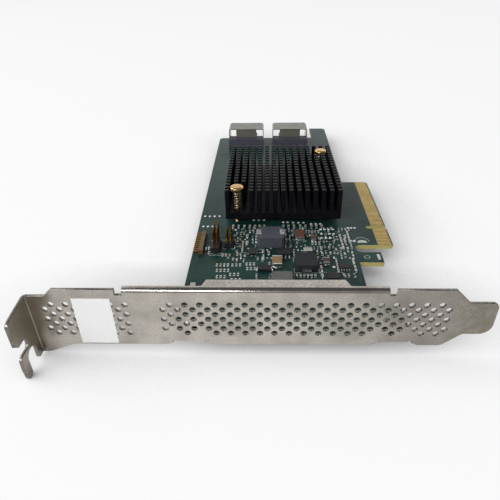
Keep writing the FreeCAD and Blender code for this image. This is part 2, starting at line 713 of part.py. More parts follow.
def socket_shell(index):
    """Bent metal shell over a cable socket, open to the board and at both ends."""
    left = BOARD_UPPER_EDGE + SOCKET_FIRST + SOCKET_PITCH * index
    right = left + SOCKET_WIDTH
    mouth = BOARD_REAR - SOCKET_SET_BACK
    inner_left = left + SOCKET_WALL
    inner_right = right - SOCKET_WALL
    inner_top = SOCKET_HEIGHT - SOCKET_WALL
    shoulder = SOCKET_HEIGHT - SOCKET_BEND
    return prism("Y", [
        (left, 0), (left, shoulder), (left + SOCKET_BEND, SOCKET_HEIGHT),
        (right - SOCKET_BEND, SOCKET_HEIGHT), (right, shoulder), (right, 0),
        (inner_right, 0), (inner_right, shoulder), (right - SOCKET_BEND, inner_top),
        (left + SOCKET_BEND, inner_top), (inner_left, shoulder), (inner_left, 0),
    ], mouth - SOCKET_DEPTH, mouth)


def socket_housing(index):
    """Moulded body of a cable socket: front block, middle post and the tongue in the mouth."""
    left = BOARD_UPPER_EDGE + SOCKET_FIRST + SOCKET_PITCH * index
    right = left + SOCKET_WIDTH
    middle = (left + right) / 2
    mouth = BOARD_REAR - SOCKET_SET_BACK
    shell_front = mouth - SOCKET_DEPTH
    inside = SOCKET_WALL + SOCKET_FIT
    wall_rear = shell_front + HOUSING_WALL
    half_post = HOUSING_POST_WIDTH / 2
    half_tongue = SOCKET_TONGUE_WIDTH / 2
    front = block((left, right), (shell_front - HOUSING_FRONT, shell_front), (0, HOUSING_HEIGHT))
    wall = block((left + inside, right - inside), (shell_front, wall_rear), (0, HOUSING_HEIGHT))
    post = block((middle - half_post, middle + half_post), (shell_front, wall_rear),
                 (HOUSING_HEIGHT, SOCKET_HEIGHT - inside))
    tongue = block((middle - half_tongue, middle + half_tongue), (wall_rear, mouth - SOCKET_TONGUE_SET_BACK),
                   (SOCKET_TONGUE_RISE, SOCKET_TONGUE_RISE + SOCKET_TONGUE))
    return fused([front, wall, post, tongue])


def header_steps(count):
    """Places of a header's pins along its row, about the middle."""
    return [(index - (count - 1) / 2) * HEADER_PITCH for index in range(count)]


def header_base(place, count, height):
    """Plastic base of an upright pin header with its rows along Y."""
    width = (HEADER_ROWS - 1) * HEADER_PITCH + 2 * HEADER_MARGIN
    length = (count - 1) * HEADER_PITCH + 2 * HEADER_MARGIN
    return seat(centred_block(width, length, 0, height), place)


def header_pins(place, count, base, top):
    """Square pins that stand up from the base of a header."""
    half = HEADER_PIN / 2
    pins = []
    for x in header_steps(HEADER_ROWS):
        for y in header_steps(count):
            pins.append(block((x - half, x + half), (y - half, y + half), (base, top)))
    return seat(Part.makeCompound(pins), place)


def edge_header_base():
    """Plastic base of the header at the board's upper edge, whose pins lie towards that edge."""
    length = (EDGE_HEADER_COUNT - 1) * HEADER_PITCH + 2 * HEADER_MARGIN
    return seat(centred_block(2 * HEADER_MARGIN, length, 0, EDGE_HEADER_BASE), EDGE_HEADER_PLACE)


def edge_header_pins():
    """Square pins that leave the edge header's base level with the board."""
    half = HEADER_PIN / 2
    middle = EDGE_HEADER_BASE / 2
    pins = []
    for y in header_steps(EDGE_HEADER_COUNT):
        x_range = (-HEADER_MARGIN - EDGE_HEADER_REACH, -HEADER_MARGIN)
        pins.append(block(x_range, (y - half, y + half), (middle - half, middle + half)))
    return seat(Part.makeCompound(pins), EDGE_HEADER_PLACE)


def power_inductor_core():
    """Moulded block of the large inductor."""
    return seat(chamfered_block(POWER_INDUCTOR_LENGTH, POWER_INDUCTOR_WIDTH, POWER_INDUCTOR_HEIGHT,
                                INDUCTOR_CHAMFER), POWER_INDUCTOR_PLACE)


def power_inductor_clips():
    """Two metal straps up the large inductor's sides and over its top."""
    inner = POWER_INDUCTOR_LENGTH / 2
    outer = inner + CLIP_SHEET
    tip = inner - CLIP_RETURN
    top = POWER_INDUCTOR_HEIGHT
    clips = []
    for side in (-1, 1):
        corners = [
            (side * outer, 0), (side * outer, top + CLIP_SHEET), (side * tip, top + CLIP_SHEET),
            (side * tip, top), (side * inner, top), (side * inner, 0),
        ]
        clips.append(prism("Y", corners, -CLIP_WIDTH / 2, CLIP_WIDTH / 2))
    return seat(Part.makeCompound(clips), POWER_INDUCTOR_PLACE)


def filter_inductor_core():
    """Moulded block of the small inductor."""
    return seat(chamfered_block(FILTER_INDUCTOR_LENGTH, FILTER_INDUCTOR_WIDTH, FILTER_INDUCTOR_HEIGHT,
                                INDUCTOR_CHAMFER), FILTER_INDUCTOR_PLACE)


def filter_inductor_terminals():
    """Two metal feet at the front and rear of the small inductor."""
    end = FILTER_INDUCTOR_WIDTH / 2
    half = FILTER_TERMINAL_WIDTH / 2
    feet = []
    for side in (-1, 1):
        limits = sorted((side * end, side * (end + FILTER_TERMINAL_REACH)))
        feet.append(block((-half, half), limits, (0, FILTER_TERMINAL_HEIGHT)))
    return seat(Part.makeCompound(feet), FILTER_INDUCTOR_PLACE)


def chip_body(place, length, width, height):
    """Moulded body of a chip, just clear of the board."""
    return seat(centred_block(length, width, CHIP_STAND_OFF, height - CHIP_STAND_OFF), place)


def chip_leads(place, length, width, height):
    """Leads that slope from the middle of a chip's front and rear sides down to the board."""
    pitch = length / LEADS_A_SIDE
    half = pitch / 4
    edge = width / 2
    leads = []
    for side in (-1, 1):
        corners = [(side * edge, height / 2), (side * (edge + LEAD_REACH), 0), (side * edge, 0)]
        for index in range(LEADS_A_SIDE):
            x = (index - (LEADS_A_SIDE - 1) / 2) * pitch
            leads.append(prism("X", corners, x - half, x + half))
    return seat(Part.makeCompound(leads), place)


def chip_part(place, length, width, height):
    """Chip part with its length along the board."""
    return seat(centred_block(width, length, 0, height), place)


def oscillator_base():
    """Ceramic base of the clock oscillator."""
    return seat(centred_block(OSCILLATOR_LENGTH, OSCILLATOR_WIDTH, 0, OSCILLATOR_BASE), OSCILLATOR_PLACE)


def oscillator_lid():
    """Metal lid of the clock oscillator."""
    length = OSCILLATOR_LENGTH - 2 * OSCILLATOR_RIM
    width = OSCILLATOR_WIDTH - 2 * OSCILLATOR_RIM
    return seat(centred_block(length, width, OSCILLATOR_BASE, OSCILLATOR_LID), OSCILLATOR_PLACE)


def chip_parts(places, height):
    """Like chip parts standing along the board at their places."""
    body = centred_block(CHIP_PART_WIDTH, CHIP_PART_LENGTH, 0, height)
    return Part.makeCompound([seat(body, place) for place in places])


def pieces():
    """Every piece of the card by its name, in the layout frame."""
    regulator = (REGULATOR_PLACE, REGULATOR_LENGTH, REGULATOR_WIDTH, REGULATOR_HEIGHT)
    memory = (MEMORY_PLACE, MEMORY_LENGTH, MEMORY_WIDTH, MEMORY_HEIGHT)
    logic = (LOGIC_PLACE, LOGIC_LENGTH, LOGIC_WIDTH, LOGIC_HEIGHT)
    bulk = (BULK_CAPACITOR_PLACE, BULK_CAPACITOR_LENGTH, BULK_CAPACITOR_WIDTH, BULK_CAPACITOR_HEIGHT)
    tantalum = (TANTALUM_PLACE, TANTALUM_LENGTH, TANTALUM_WIDTH, TANTALUM_HEIGHT)
    diode = (DIODE_PLACE, DIODE_LENGTH, DIODE_WIDTH, DIODE_HEIGHT)
    bead = (BEAD_PLACE, BEAD_LENGTH, BEAD_WIDTH, BEAD_HEIGHT)
    shunt = (SHUNT_PLACE, SHUNT_LENGTH, SHUNT_WIDTH, SHUNT_HEIGHT)
    light = (LIGHT_LENGTH, LIGHT_WIDTH, 0, LIGHT_HEIGHT)
    made = {
        "bracket": bracket(),
        "bracket_label": bracket_label(),
        "bracket_screws": bracket_screws(),
        "circuit_board": circuit_board(),
        "contacts_component_side": contacts((0, CONTACT_FILM)),
        "contacts_solder_side": contacts((SOLDER_SIDE - CONTACT_FILM, SOLDER_SIDE)),
        "controller_chip": controller_chip(),
        "thermal_pad": thermal_pad(),
        "heat_sink": heat_sink(),
        "heat_sink_pins": heat_sink_pins(),
        "heat_sink_springs": heat_sink_springs(),
        "tall_header_base": header_base(TALL_HEADER_PLACE, TALL_HEADER_COUNT, TALL_HEADER_BASE),
        "tall_header_pins": header_pins(TALL_HEADER_PLACE, TALL_HEADER_COUNT, TALL_HEADER_BASE,
                                        TALL_HEADER_PIN_TOP),
        "short_header_base": header_base(SHORT_HEADER_PLACE, SHORT_HEADER_COUNT, SHORT_HEADER_BASE),
        "short_header_pins": header_pins(SHORT_HEADER_PLACE, SHORT_HEADER_COUNT, SHORT_HEADER_BASE,
                                         SHORT_HEADER_PIN_TOP),
        "edge_header_base": edge_header_base(),
        "edge_header_pins": edge_header_pins(),
        "power_inductor_core": power_inductor_core(),
        "power_inductor_clips": power_inductor_clips(),
        "filter_inductor_core": filter_inductor_core(),
        "filter_inductor_terminals": filter_inductor_terminals(),
        "regulator_chip": chip_body(*regulator),
        "regulator_leads": chip_leads(*regulator),
        "memory_chip": chip_body(*memory),
        "memory_leads": chip_leads(*memory),
        "logic_chip": chip_body(*logic),
        "logic_leads": chip_leads(*logic),
        "bulk_capacitor": chip_part(*bulk),
        "tantalum_capacitor": chip_part(*tantalum),
        "small_diode": chip_part(*diode),
        "ferrite_bead": chip_part(*bead),
        "shunt_resistor": chip_part(*shunt),
        "oscillator_base": oscillator_base(),
        "oscillator_lid": oscillator_lid(),
        "chip_capacitors": chip_parts([(u, CAPACITOR_ROW) for u in CAPACITOR_PLACES], CAPACITOR_HEIGHT),
        "chip_resistors": chip_parts(RESISTOR_PLACES, RESISTOR_HEIGHT),
        "status_light": seat(centred_block(*light), LIGHT_PLACE),
        "light_driver": seat(centred_block(*light), DRIVER_PLACE),
    }
    for index in range(SOCKET_COUNT):
        made[f"socket_{index + 1}_shell"] = socket_shell(index)
        made[f"socket_{index + 1}_housing"] = socket_housing(index)
    return made


def main():
    """Write each piece to its own file, with the origin on the card edge."""
    os.makedirs("parts", exist_ok=True)
    for name, shape in pieces().items():
        shape.translated(-ORIGIN).exportStep(f"parts/{name}.step")


main()
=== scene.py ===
"""Looks of a host bus adapter: folded bracket, card, heat sink, cable sockets and small parts."""

import logging
import math
import random
from dataclasses import dataclass
from enum import Enum
from typing import Any, Iterable, Sequence, Union

import bpy
from mathutils import Matrix, Vector
from mathutils.geometry import delaunay_2d_cdt


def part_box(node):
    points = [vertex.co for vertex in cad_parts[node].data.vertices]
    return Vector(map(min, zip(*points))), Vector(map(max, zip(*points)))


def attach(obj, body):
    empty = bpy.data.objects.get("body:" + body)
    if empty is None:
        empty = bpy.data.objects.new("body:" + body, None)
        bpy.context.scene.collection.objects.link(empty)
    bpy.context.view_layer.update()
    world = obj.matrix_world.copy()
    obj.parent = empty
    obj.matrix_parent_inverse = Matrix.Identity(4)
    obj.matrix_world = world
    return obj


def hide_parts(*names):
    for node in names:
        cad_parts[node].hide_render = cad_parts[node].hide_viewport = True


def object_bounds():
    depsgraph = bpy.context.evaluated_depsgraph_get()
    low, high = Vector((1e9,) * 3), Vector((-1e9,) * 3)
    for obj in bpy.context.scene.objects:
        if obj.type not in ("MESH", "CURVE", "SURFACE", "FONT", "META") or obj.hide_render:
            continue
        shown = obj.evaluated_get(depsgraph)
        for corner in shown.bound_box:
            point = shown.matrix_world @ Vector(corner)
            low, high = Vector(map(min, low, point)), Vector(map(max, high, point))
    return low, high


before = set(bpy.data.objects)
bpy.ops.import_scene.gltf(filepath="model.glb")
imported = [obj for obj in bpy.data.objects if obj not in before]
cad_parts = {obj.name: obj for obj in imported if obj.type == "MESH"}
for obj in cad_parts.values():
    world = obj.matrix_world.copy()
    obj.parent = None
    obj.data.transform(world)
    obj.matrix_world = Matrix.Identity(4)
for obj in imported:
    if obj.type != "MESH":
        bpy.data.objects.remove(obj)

CAD_BOX: tuple[Vector, Vector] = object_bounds()
MM: float = 0.001
MM_PER_METRE: float = 1000.0
# Point of the layout, in millimetres, where the frame has its origin. The layout has X from the screw
# tab to the tongue, Y from the bracket's outer face back along the card, and Z up from the card's face.
ORIGIN: Vector = Vector((105.77, 57.15, -0.785))
UPPER_EDGE: float = 36.87
SOLDER_SIDE: float = -1.57
SEED: int = 11

Colour = tuple[float, float, float]
Triple = tuple[float, float, float]
Pair = tuple[float, float]
Value = Union[float, tuple, "Signal"]
EVEN: Triple = (1.0, 1.0, 1.0)
BUMP_STRENGTH: float = 0.6
# Least cosine that a mitred strip or rim allows for, so that a sharp corner doesn't shoot out.
SHARPEST_MITRE: float = 0.4
SHARPEST_RIM: float = 0.5
EDGE_SEGMENTS: int = 2

log = logging.getLogger("adapter")


def to_frame(point: Sequence[float]) -> Vector:
    """Point of the layout in millimetres as a point of the frame in metres."""
    return (Vector(point) - ORIGIN) * MM


def node_box(name: str) -> tuple[Vector, Vector]:
    """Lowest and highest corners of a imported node, in layout millimetres."""
    low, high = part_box(name)
    return low / MM + ORIGIN, high / MM + ORIGIN


def linear(colour: Colour) -> tuple[float, float, float, float]:
    """Screen colour from 0 to 255 as the linear colour that a socket takes."""
    shares = [part / 255 for part in colour]
    curve = [s / 12.92 if s <= 0.04045 else ((s + 0.055) / 1.055) ** 2.4 for s in shares]
    return (curve[0], curve[1], curve[2], 1.0)


class Signal:
    """Shader socket that adds a Math node wherever it is used in a sum."""

    def __init__(self, graph: "Graph", socket: bpy.types.NodeSocket) -> None:
        """Wrap one output socket of a graph."""
        self.graph = graph
        self.socket = socket

    def part(self, name: str) -> "Signal":
        """Another output of the same node."""
        return Signal(self.graph, self.socket.node.outputs[name])

    def math(self, operation: str, first: Value, second: Value = 0.0) -> "Signal":
        """Result of one Math node on two values.

        Args:
            operation: The Math node's operation.
            first: Number or socket on the left.
            second: Number or socket on the right.

        Returns:
            The node's output.
        """
        return self.graph.node("ShaderNodeMath", {"operation": operation}, {0: first, 1: second})

    def __add__(self, other: Value) -> "Signal":
        """Sum."""
        return self.math("ADD", self, other)

    def __radd__(self, other: Value) -> "Signal":
        """Sum, reflected."""
        return self.math("ADD", other, self)

    def __sub__(self, other: Value) -> "Signal":
        """Difference."""
        return self.math("SUBTRACT", self, other)

    def __rsub__(self, other: Value) -> "Signal":
        """Difference, reflected."""
        return self.math("SUBTRACT", other, self)

    def __mul__(self, other: Value) -> "Signal":
        """Product."""
        return self.math("MULTIPLY", self, other)

    def __rmul__(self, other: Value) -> "Signal":
        """Product, reflected."""
        return self.math("MULTIPLY", other, self)

    def __pow__(self, other: Value) -> "Signal":
        """Power."""
        return self.math("POWER", self, other)

    def __abs__(self) -> "Signal":
        """Size without sign."""
        return self.math("ABSOLUTE", self)

    def __lt__(self, other: Value) -> "Signal":
        """One where this is below the other, else nought."""
        return self.math("LESS_THAN", self, other)

    def __gt__(self, other: Value) -> "Signal":
        """One where this is above the other, else nought."""
        return self.math("GREATER_THAN", self, other)

    def between(self, low: float, high: float) -> "Signal":
        """Smooth climb from nought at low to one at high."""
        settings = {"interpolation_type": "SMOOTHSTEP"}
        return self.graph.node("ShaderNodeMapRange", settings, {0: self, 1: low, 2: high})


class Graph:
    """Node tree of one material or of the world."""

    def __init__(self, owner: bpy.types.ID) -> None:
        """Start an empty tree in a new material or world."""
        self.owner = owner
        owner.use_nodes = True
        self.tree = owner.node_tree
        self.tree.nodes.clear()

    def node(self, kind: str, settings: dict[str, Any] | None = None,
             sockets: dict[Any, Value] | None = None, output: Any = 0) -> Signal:
        """Add a node.

        Args:
            kind: The node's type.
            settings: Properties that are set first.
            sockets: Values or links of the input sockets, by name or number.
            output: Name or number of the output to return.

        Returns:
            The chosen output.
        """
        made = self.tree.nodes.new(kind)
        for name, value in (settings or {}).items():
            setattr(made, name, value)
        for name, value in (sockets or {}).items():
            if isinstance(value, Signal):
                self.tree.links.new(value.socket, made.inputs[name])
            else:
                made.inputs[name].default_value = value
        return Signal(self, made.outputs[output])

    def place(self, stretch: Triple = EVEN) -> Signal:
        """Place on the object in millimetres, stretched along the axes."""
        spot = self.node("ShaderNodeTexCoord", output="Object")
        scale = tuple(MM_PER_METRE * share for share in stretch)
        return self.node("ShaderNodeVectorMath", {"operation": "MULTIPLY"}, {0: spot, 1: scale})

    def axes(self, vector: Signal) -> Signal:
        """X of a vector, whose other parts are Y and Z."""
        return self.node("ShaderNodeSeparateXYZ", None, {0: vector})

    def noise(self, vector: Signal, size: float, detail: float = 3.0) -> Signal:
        """Cloudy noise from 0 to 1 whose blots are about that many millimetres across."""
        return self.node("ShaderNodeTexNoise", None, {"Vector": vector, "Scale": 1 / size, "Detail": detail})

    def mix(self, factor: Value, first: Value, second: Value) -> Signal:
        """Colour between two colours, which are sockets 6 and 7 of the node and its output 2."""
        return self.node("ShaderNodeMix", {"data_type": "RGBA"}, {0: factor, 6: first, 7: second}, 2)

    def bump(self, height: Signal, relief: float) -> Signal:
        """Normal of a surface with that relief in millimetres."""
        sockets = {"Strength": BUMP_STRENGTH, "Distance": relief * MM, "Height": height}
        return self.node("ShaderNodeBump", None, sockets)

    def shade(self, **sockets: Value) -> bpy.types.ID:
        """Close the tree with a Principled shader whose sockets are named with underscores for spaces."""
        named = {name.replace("_", " "): value for name, value in sockets.items()}
        return self.close(self.node("ShaderNodeBsdfPrincipled", None, named))

    def close(self, shader: Signal) -> bpy.types.ID:
        """Link a shader to the surface and hand back what the tree belongs to."""
        world = isinstance(self.owner, bpy.types.World)
        end = self.tree.nodes.new("ShaderNodeOutputWorld" if world else "ShaderNodeOutputMaterial")
        self.tree.links.new(shader.socket, end.inputs["Surface"])
        return self.owner


class Grain(Enum):
    """Ways in which a surface is broken up."""

    SPECKLE = "speckle"
    BRUSHED_X = "brushed along X"
    BRUSHED_Y = "brushed along Y"
    BRUSHED_Z = "brushed along Z"
    MOTTLED = "mottled"


# A brushed grain is drawn out along its axis, and the others are even.
STRETCH: dict[Grain, Triple] = {
    Grain.BRUSHED_X: (0.06, 1.0, 1.0),
    Grain.BRUSHED_Y: (1.0, 0.06, 1.0),
    Grain.BRUSHED_Z: (1.0, 1.0, 0.06),
}
# Clouds are larger than the grain by this factor, and worn patches show between these levels.
CLOUD_SIZE: float = 9.0
CLOUD_DETAIL: float = 5.0
PATCHES: Pair = (0.38, 0.72)
MOTTLED_SHARE: float = 0.75
CLOUD_SHARE: float = 0.4


@dataclass(frozen=True)
class Finish:
    """A surface: its colour, shine and the grain that breaks both up."""

    name: str
    colour: Colour
    worn: Colour
    metallic: float = 0.0
    roughness: float = 0.5
    spread: float = 0.12
    grain: Grain = Grain.SPECKLE
    size: float = 0.3
    relief: float = 0.01
    specular: float = 0.5

    def make(self) -> bpy.types.Material:
        """The finish's material, made on its first use."""
        made = bpy.data.materials.get(self.name)
        return made or self.shade(Graph(bpy.data.materials.new(self.name)))

    def shade(self, graph: Graph) -> bpy.types.Material:
        """Fill in the nodes of the finish.

        Args:
            graph: An empty tree.

        Returns:
            The finished material.
        """
        fine = graph.noise(graph.place(STRETCH.get(self.grain, EVEN)), self.size)
        cloud = graph.noise(graph.place(), self.size * CLOUD_SIZE, CLOUD_DETAIL)
        share = MOTTLED_SHARE if self.grain is Grain.MOTTLED else CLOUD_SHARE
        mask = (share * cloud + (1 - share) * fine).between(*PATCHES)
        return graph.shade(
            Base_Color=graph.mix(mask, linear(self.colour), linear(self.worn)),
            Roughness=self.roughness - self.spread / 2 + self.spread * mask,
            Metallic=self.metallic,
            Specular_IOR_Level=self.specular,
            Normal=graph.bump(0.7 * fine + 0.3 * cloud, self.relief),
        )


@dataclass(frozen=True)
class RolledSteel(Finish):
    """Plated sheet with a rolled grain, dull clouds and a few handling scratches.

    The ends of the screw tab, tongue and finger are spans on X or Z over which their marks fade: painted
    shade with a brown stain on the screw tab, darker painted shade on the finger, and rubbed wear on the
    tongue.
    """

    scratch: Colour = (205, 202, 194)
    rubbed: Colour = (164, 156, 132)
    # Painted shade with a brown stain on the screw tab, and darker painted shade on its finger.
    dark: Colour = (150, 141, 127)
    finger: Colour = (66, 64, 60)
    tab_end: Pair = (-104.0, -97.0)
    tongue_end: Pair = (2.0, 8.0)
    finger_end: Pair = (-6.0, 1.0)
    rolling: Triple = (0.035, 1.0, 1.0)
    scratching: Triple = (0.05, 1.0, 1.0)

    def shade(self, graph: Graph) -> bpy.types.Material:
        """Fill in the nodes of the sheet.

        Args:
            graph: An empty tree.

        Returns:
            The finished material.
        """
        spot = graph.place()
        rolled = graph.noise(graph.place(self.rolling), 0.22, 4.0)
        cloud = graph.noise(spot, 7.0, 6.0)
        smudge = graph.noise(spot, 1.6, 3.0)
        streak = graph.noise(graph.place(self.scratching), 1.1, 1.0)
        scratch = (1 - abs(streak - 0.5).between(0.0, 0.012)) * cloud.between(0.5, 0.62)
        fleck = graph.noise(spot, 0.45, 2.0).between(0.35, 0.65)
        axes = graph.axes(spot)
        # Painted shade: the screw tab and its fold darken, with a brown stain, and the finger at the tab's
        # foot darkens further.
        tab = 1 - axes.between(*self.tab_end)
        low = 1 - axes.part("Z").between(*self.finger_end)
        tongue = axes.between(*self.tongue_end)
        dull = graph.mix(cloud.between(0.35, 0.7), linear(self.colour), linear(self.worn))
        grained = graph.mix(0.2 * rolled.between(0.3, 0.7) + 0.45 * fleck, dull, linear(self.worn))
        stained_and_shaded = graph.mix(tab * (0.5 + 0.4 * smudge), grained, linear(self.dark))
        stained_and_shaded = graph.mix(tab * low * (0.5 + 0.4 * fleck), stained_and_shaded, linear(self.finger))
        wear = tongue * smudge.between(0.3, 0.6) * (0.3 + 0.6 * fleck)
        stained_and_shaded = graph.mix(wear, stained_and_shaded, linear(self.rubbed))
        dirt = 0.1 * smudge + 0.08 * fleck - 0.1 * scratch + 0.16 * tab
        return graph.shade(
            Base_Color=graph.mix(0.35 * scratch, stained_and_shaded, linear(self.scratch)),
            Roughness=self.roughness + self.spread * (cloud - 0.5) + dirt,
            Metallic=self.metallic,
            Normal=graph.bump(0.5 * rolled + 0.3 * smudge - 0.4 * scratch, self.relief),
        )


@dataclass(frozen=True)
class SolderMask(Finish):
    """Lacquered card: copper areas under the lacquer, glass weave and bare laminate at its edges."""

    copper: Colour = (32, 66, 60)
    laminate: Colour = (196, 186, 122)
    glass: Colour = (150, 148, 92)
    area_scale: float = 0.16
    area_edge: Pair = (0.45, 0.55)
    threads: float = 9.0
    layers: float = 1.6

    def shade(self, graph: Graph) -> bpy.types.Material:
        """Fill in the nodes of the card.

        Args:
            graph: An empty tree.

        Returns:
            The finished material.
        """
        spot = graph.place()
        cells = {"Vector": spot, "Scale": self.area_scale}
        areas = graph.node("ShaderNodeTexVoronoi", {"distance": "CHEBYCHEV"}, cells, "Color")
        poured = graph.node("ShaderNodeSeparateColor", None, {0: areas}).between(*self.area_edge)
        cloud = graph.noise(spot, 5.0, 4.0)
        axes = graph.axes(spot)
        warp = axes.math("SINE", axes * self.threads)
        weft = axes.math("SINE", axes.part("Y") * self.threads)
        weave = 0.5 + 0.25 * warp + 0.25 * weft
        normal = graph.node("ShaderNodeNewGeometry", output="True Normal")
        edge = abs(graph.axes(normal).part("Z")) < 0.5
        bands = {"Vector": spot, "Scale": self.layers}
        layers = graph.node("ShaderNodeTexWave", {"bands_direction": "Z"}, bands)
        bare = graph.mix(0.4 * layers, linear(self.laminate), linear(self.glass))
        lacquer = graph.mix(poured * 0.7, linear(self.colour), linear(self.copper))
        lacquer = graph.mix(cloud.between(0.3, 0.8) * 0.45, lacquer, linear(self.worn))
        return graph.shade(
            Base_Color=graph.mix(edge, lacquer, bare),
            Roughness=self.roughness + self.spread * (cloud - 0.5) + 0.25 * edge,
            Specular_IOR_Level=self.specular,
            Normal=graph.bump(0.25 * weave + 0.5 * poured, self.relief),
        )


@dataclass(frozen=True)
class Gilding(Finish):
    """Gold plate with rubbed tracks where it has slid into a slot."""

    rubbing: Triple = (0.12, 1.0, 1.0)

    def shade(self, graph: Graph) -> bpy.types.Material:
        """Fill in the nodes of the plate.

        Args:
            graph: An empty tree.

        Returns:
            The finished material.
        """
        rubbed = graph.noise(graph.place(self.rubbing), 0.16, 4.0)
        cloud = graph.noise(graph.place(), 2.2, 3.0)
        mask = (0.6 * rubbed + 0.4 * cloud).between(0.42, 0.66)
        return graph.shade(
            Base_Color=graph.mix(mask, linear(self.colour), linear(self.worn)),
            Roughness=self.roughness + self.spread * mask,
            Metallic=self.metallic,
            Normal=graph.bump(rubbed, self.relief),
        )


@dataclass(frozen=True)
class Moulding(Finish):
    """Nylon whose key, above the mouth, is a paler colour."""

    key: Colour = (106, 105, 94)
    level: float = 5.3

    def shade(self, graph: Graph) -> bpy.types.Material:
        """Fill in the nodes of the nylon.

        Args:
            graph: An empty tree.

        Returns:
            The finished material.
        """
        spot = graph.place()
        fine = graph.noise(spot, self.size)
        cloud = graph.noise(spot, self.size * CLOUD_SIZE, CLOUD_DETAIL)
        mask = (0.5 * fine + 0.5 * cloud).between(*PATCHES)
        above = graph.axes(spot).part("Z") > self.level
        nylon = graph.mix(mask, linear(self.colour), linear(self.worn))
        return graph.shade(
            Base_Color=graph.mix(above * (0.85 + 0.15 * fine), nylon, linear(self.key)),
            Roughness=self.roughness - self.spread / 2 + self.spread * mask,
            Normal=graph.bump(fine, self.relief),
        )


STEEL = RolledSteel("plated_sheet", (202, 196, 187), (170, 164, 155), 1.0, 0.11, 0.09, relief=0.004)
CUT_STEEL = Finish("sheared_edge", (150, 146, 138), (104, 100, 94), 1.0, 0.45, 0.2, Grain.BRUSHED_Y, 0.15)
MASK = SolderMask("card_lacquer", (18, 50, 47), (27, 60, 57), 0.0, 0.34, 0.12, relief=0.012, specular=0.19)
TRACK = Finish("covered_track", (33, 71, 62), (27, 62, 54), 0.0, 0.36, 0.1, size=0.6, relief=0.004,
               specular=0.2)
GOLD = Gilding("contact_plate", (206, 178, 110), (188, 158, 94), 1.0, 0.3, 0.12, relief=0.002)
PIN_GOLD = Finish("pin_plate", (178, 134, 66), (128, 90, 44), 1.0, 0.3, 0.2, Grain.BRUSHED_Z, 0.12, 0.004)
TIN = Finish("solder_tin", (236, 238, 236), (204, 206, 204), 1.0, 0.34, 0.2, Grain.MOTTLED, 0.12, 0.012)
# Near-white, mostly diffuse solder: its brightness is a painted highlight, so the points stay bright in shade
# where shiny tin would mirror the dark heat sink.
SOLDER_PAINTED_BRIGHT = Finish("matt_solder_painted_bright", (240, 242, 240), (216, 218, 216), 0.3, 0.42, 0.2, Grain.MOTTLED, 0.12, 0.012)
BRASS = Finish("turned_brass", (216, 182, 124), (180, 144, 92), 1.0, 0.3, 0.18, Grain.MOTTLED, 0.1, 0.004)
SPRING = Finish("spring_wire", (226, 212, 184), (170, 154, 124), 1.0, 0.3, 0.15, Grain.BRUSHED_X, 0.1, 0.003)
ANODISED = Finish("black_anodising", (12, 12, 17), (20, 21, 28), 0.0, 0.42, 0.14, Grain.BRUSHED_Y, 0.16,
                  specular=0.15)
EPOXY = Finish("moulded_epoxy", (24, 24, 27), (38, 38, 42), 0.0, 0.55, 0.14, Grain.SPECKLE, 0.07, 0.012)
NYLON = Finish("black_nylon", (25, 25, 28), (40, 39, 42), 0.0, 0.45, 0.14, Grain.SPECKLE, 0.2, 0.008)
AMBER = Finish("amber_nylon", (110, 82, 46), (84, 62, 36), 0.0, 0.45, 0.14, Grain.SPECKLE, 0.2, 0.008)
HOUSING = Moulding("socket_nylon", (70, 70, 82), (86, 86, 98), 0.0, 0.5, 0.14, Grain.SPECKLE, 0.25, 0.01)
SHELL = Finish("socket_tin", (132, 130, 124), (108, 106, 100), 1.0, 0.36, 0.16, Grain.BRUSHED_X, 0.2, 0.006)
SCREW = Finish("nickel_screw", (160, 158, 152), (124, 122, 116), 1.0, 0.4, 0.14, Grain.MOTTLED, 0.1, 0.005)
FERRITE = Finish("grey_ferrite", (80, 83, 92), (63, 66, 75), 0.0, 0.6, 0.15, Grain.SPECKLE, 0.12, 0.02,
                 specular=0.4)
IRON = Finish("dark_iron", (36, 37, 44), (50, 51, 58), 0.0, 0.6, 0.15, Grain.SPECKLE, 0.12, 0.02,
              specular=0.3)
TAN = Finish("tan_ceramic", (150, 118, 82), (120, 92, 62), 0.0, 0.5, 0.12, Grain.SPECKLE, 0.15, 0.006)
PALE = Finish("pale_ceramic", (190, 187, 170), (160, 158, 142), 0.0, 0.5, 0.12, Grain.SPECKLE, 0.15, 0.006)
TANTALUM = Finish("brown_moulding", (116, 76, 62), (90, 58, 48), 0.0, 0.5, 0.12, Grain.SPECKLE, 0.12, 0.008)
SHUNT = Finish("brown_enamel", (70, 48, 38), (52, 36, 30), 0.0, 0.42, 0.12, Grain.SPECKLE, 0.12, 0.008)
GLAZE = Finish("black_glaze", (26, 26, 28), (44, 44, 46), 0.0, 0.35, 0.12, Grain.SPECKLE, 0.1, 0.004)
CERAMIC = Finish("grey_ceramic", (112, 108, 98), (88, 84, 76), 0.0, 0.55, 0.12, Grain.SPECKLE, 0.12, 0.008)
LID = Finish("lid_plate", (130, 130, 126), (104, 104, 100), 1.0, 0.4, 0.14, Grain.BRUSHED_X, 0.14, 0.005)
PAPER = Finish("label_paper", (243, 243, 242), (238, 238, 236), 0.0, 0.5, 0.1, Grain.SPECKLE, 0.12, 0.004)
INK = Finish("legend_ink", (214, 220, 214), (168, 180, 172), 0.0, 0.55, 0.1, Grain.MOTTLED, 0.12, 0.004)
PAD = Finish("grey_pad", (120, 122, 126), (98, 100, 104), 0.0, 0.75, 0.1, Grain.MOTTLED, 0.3, 0.02)
LENS = Finish("light_lens", (186, 188, 180), (160, 162, 154), 0.0, 0.36, 0.1, Grain.SPECKLE, 0.2, 0.004)


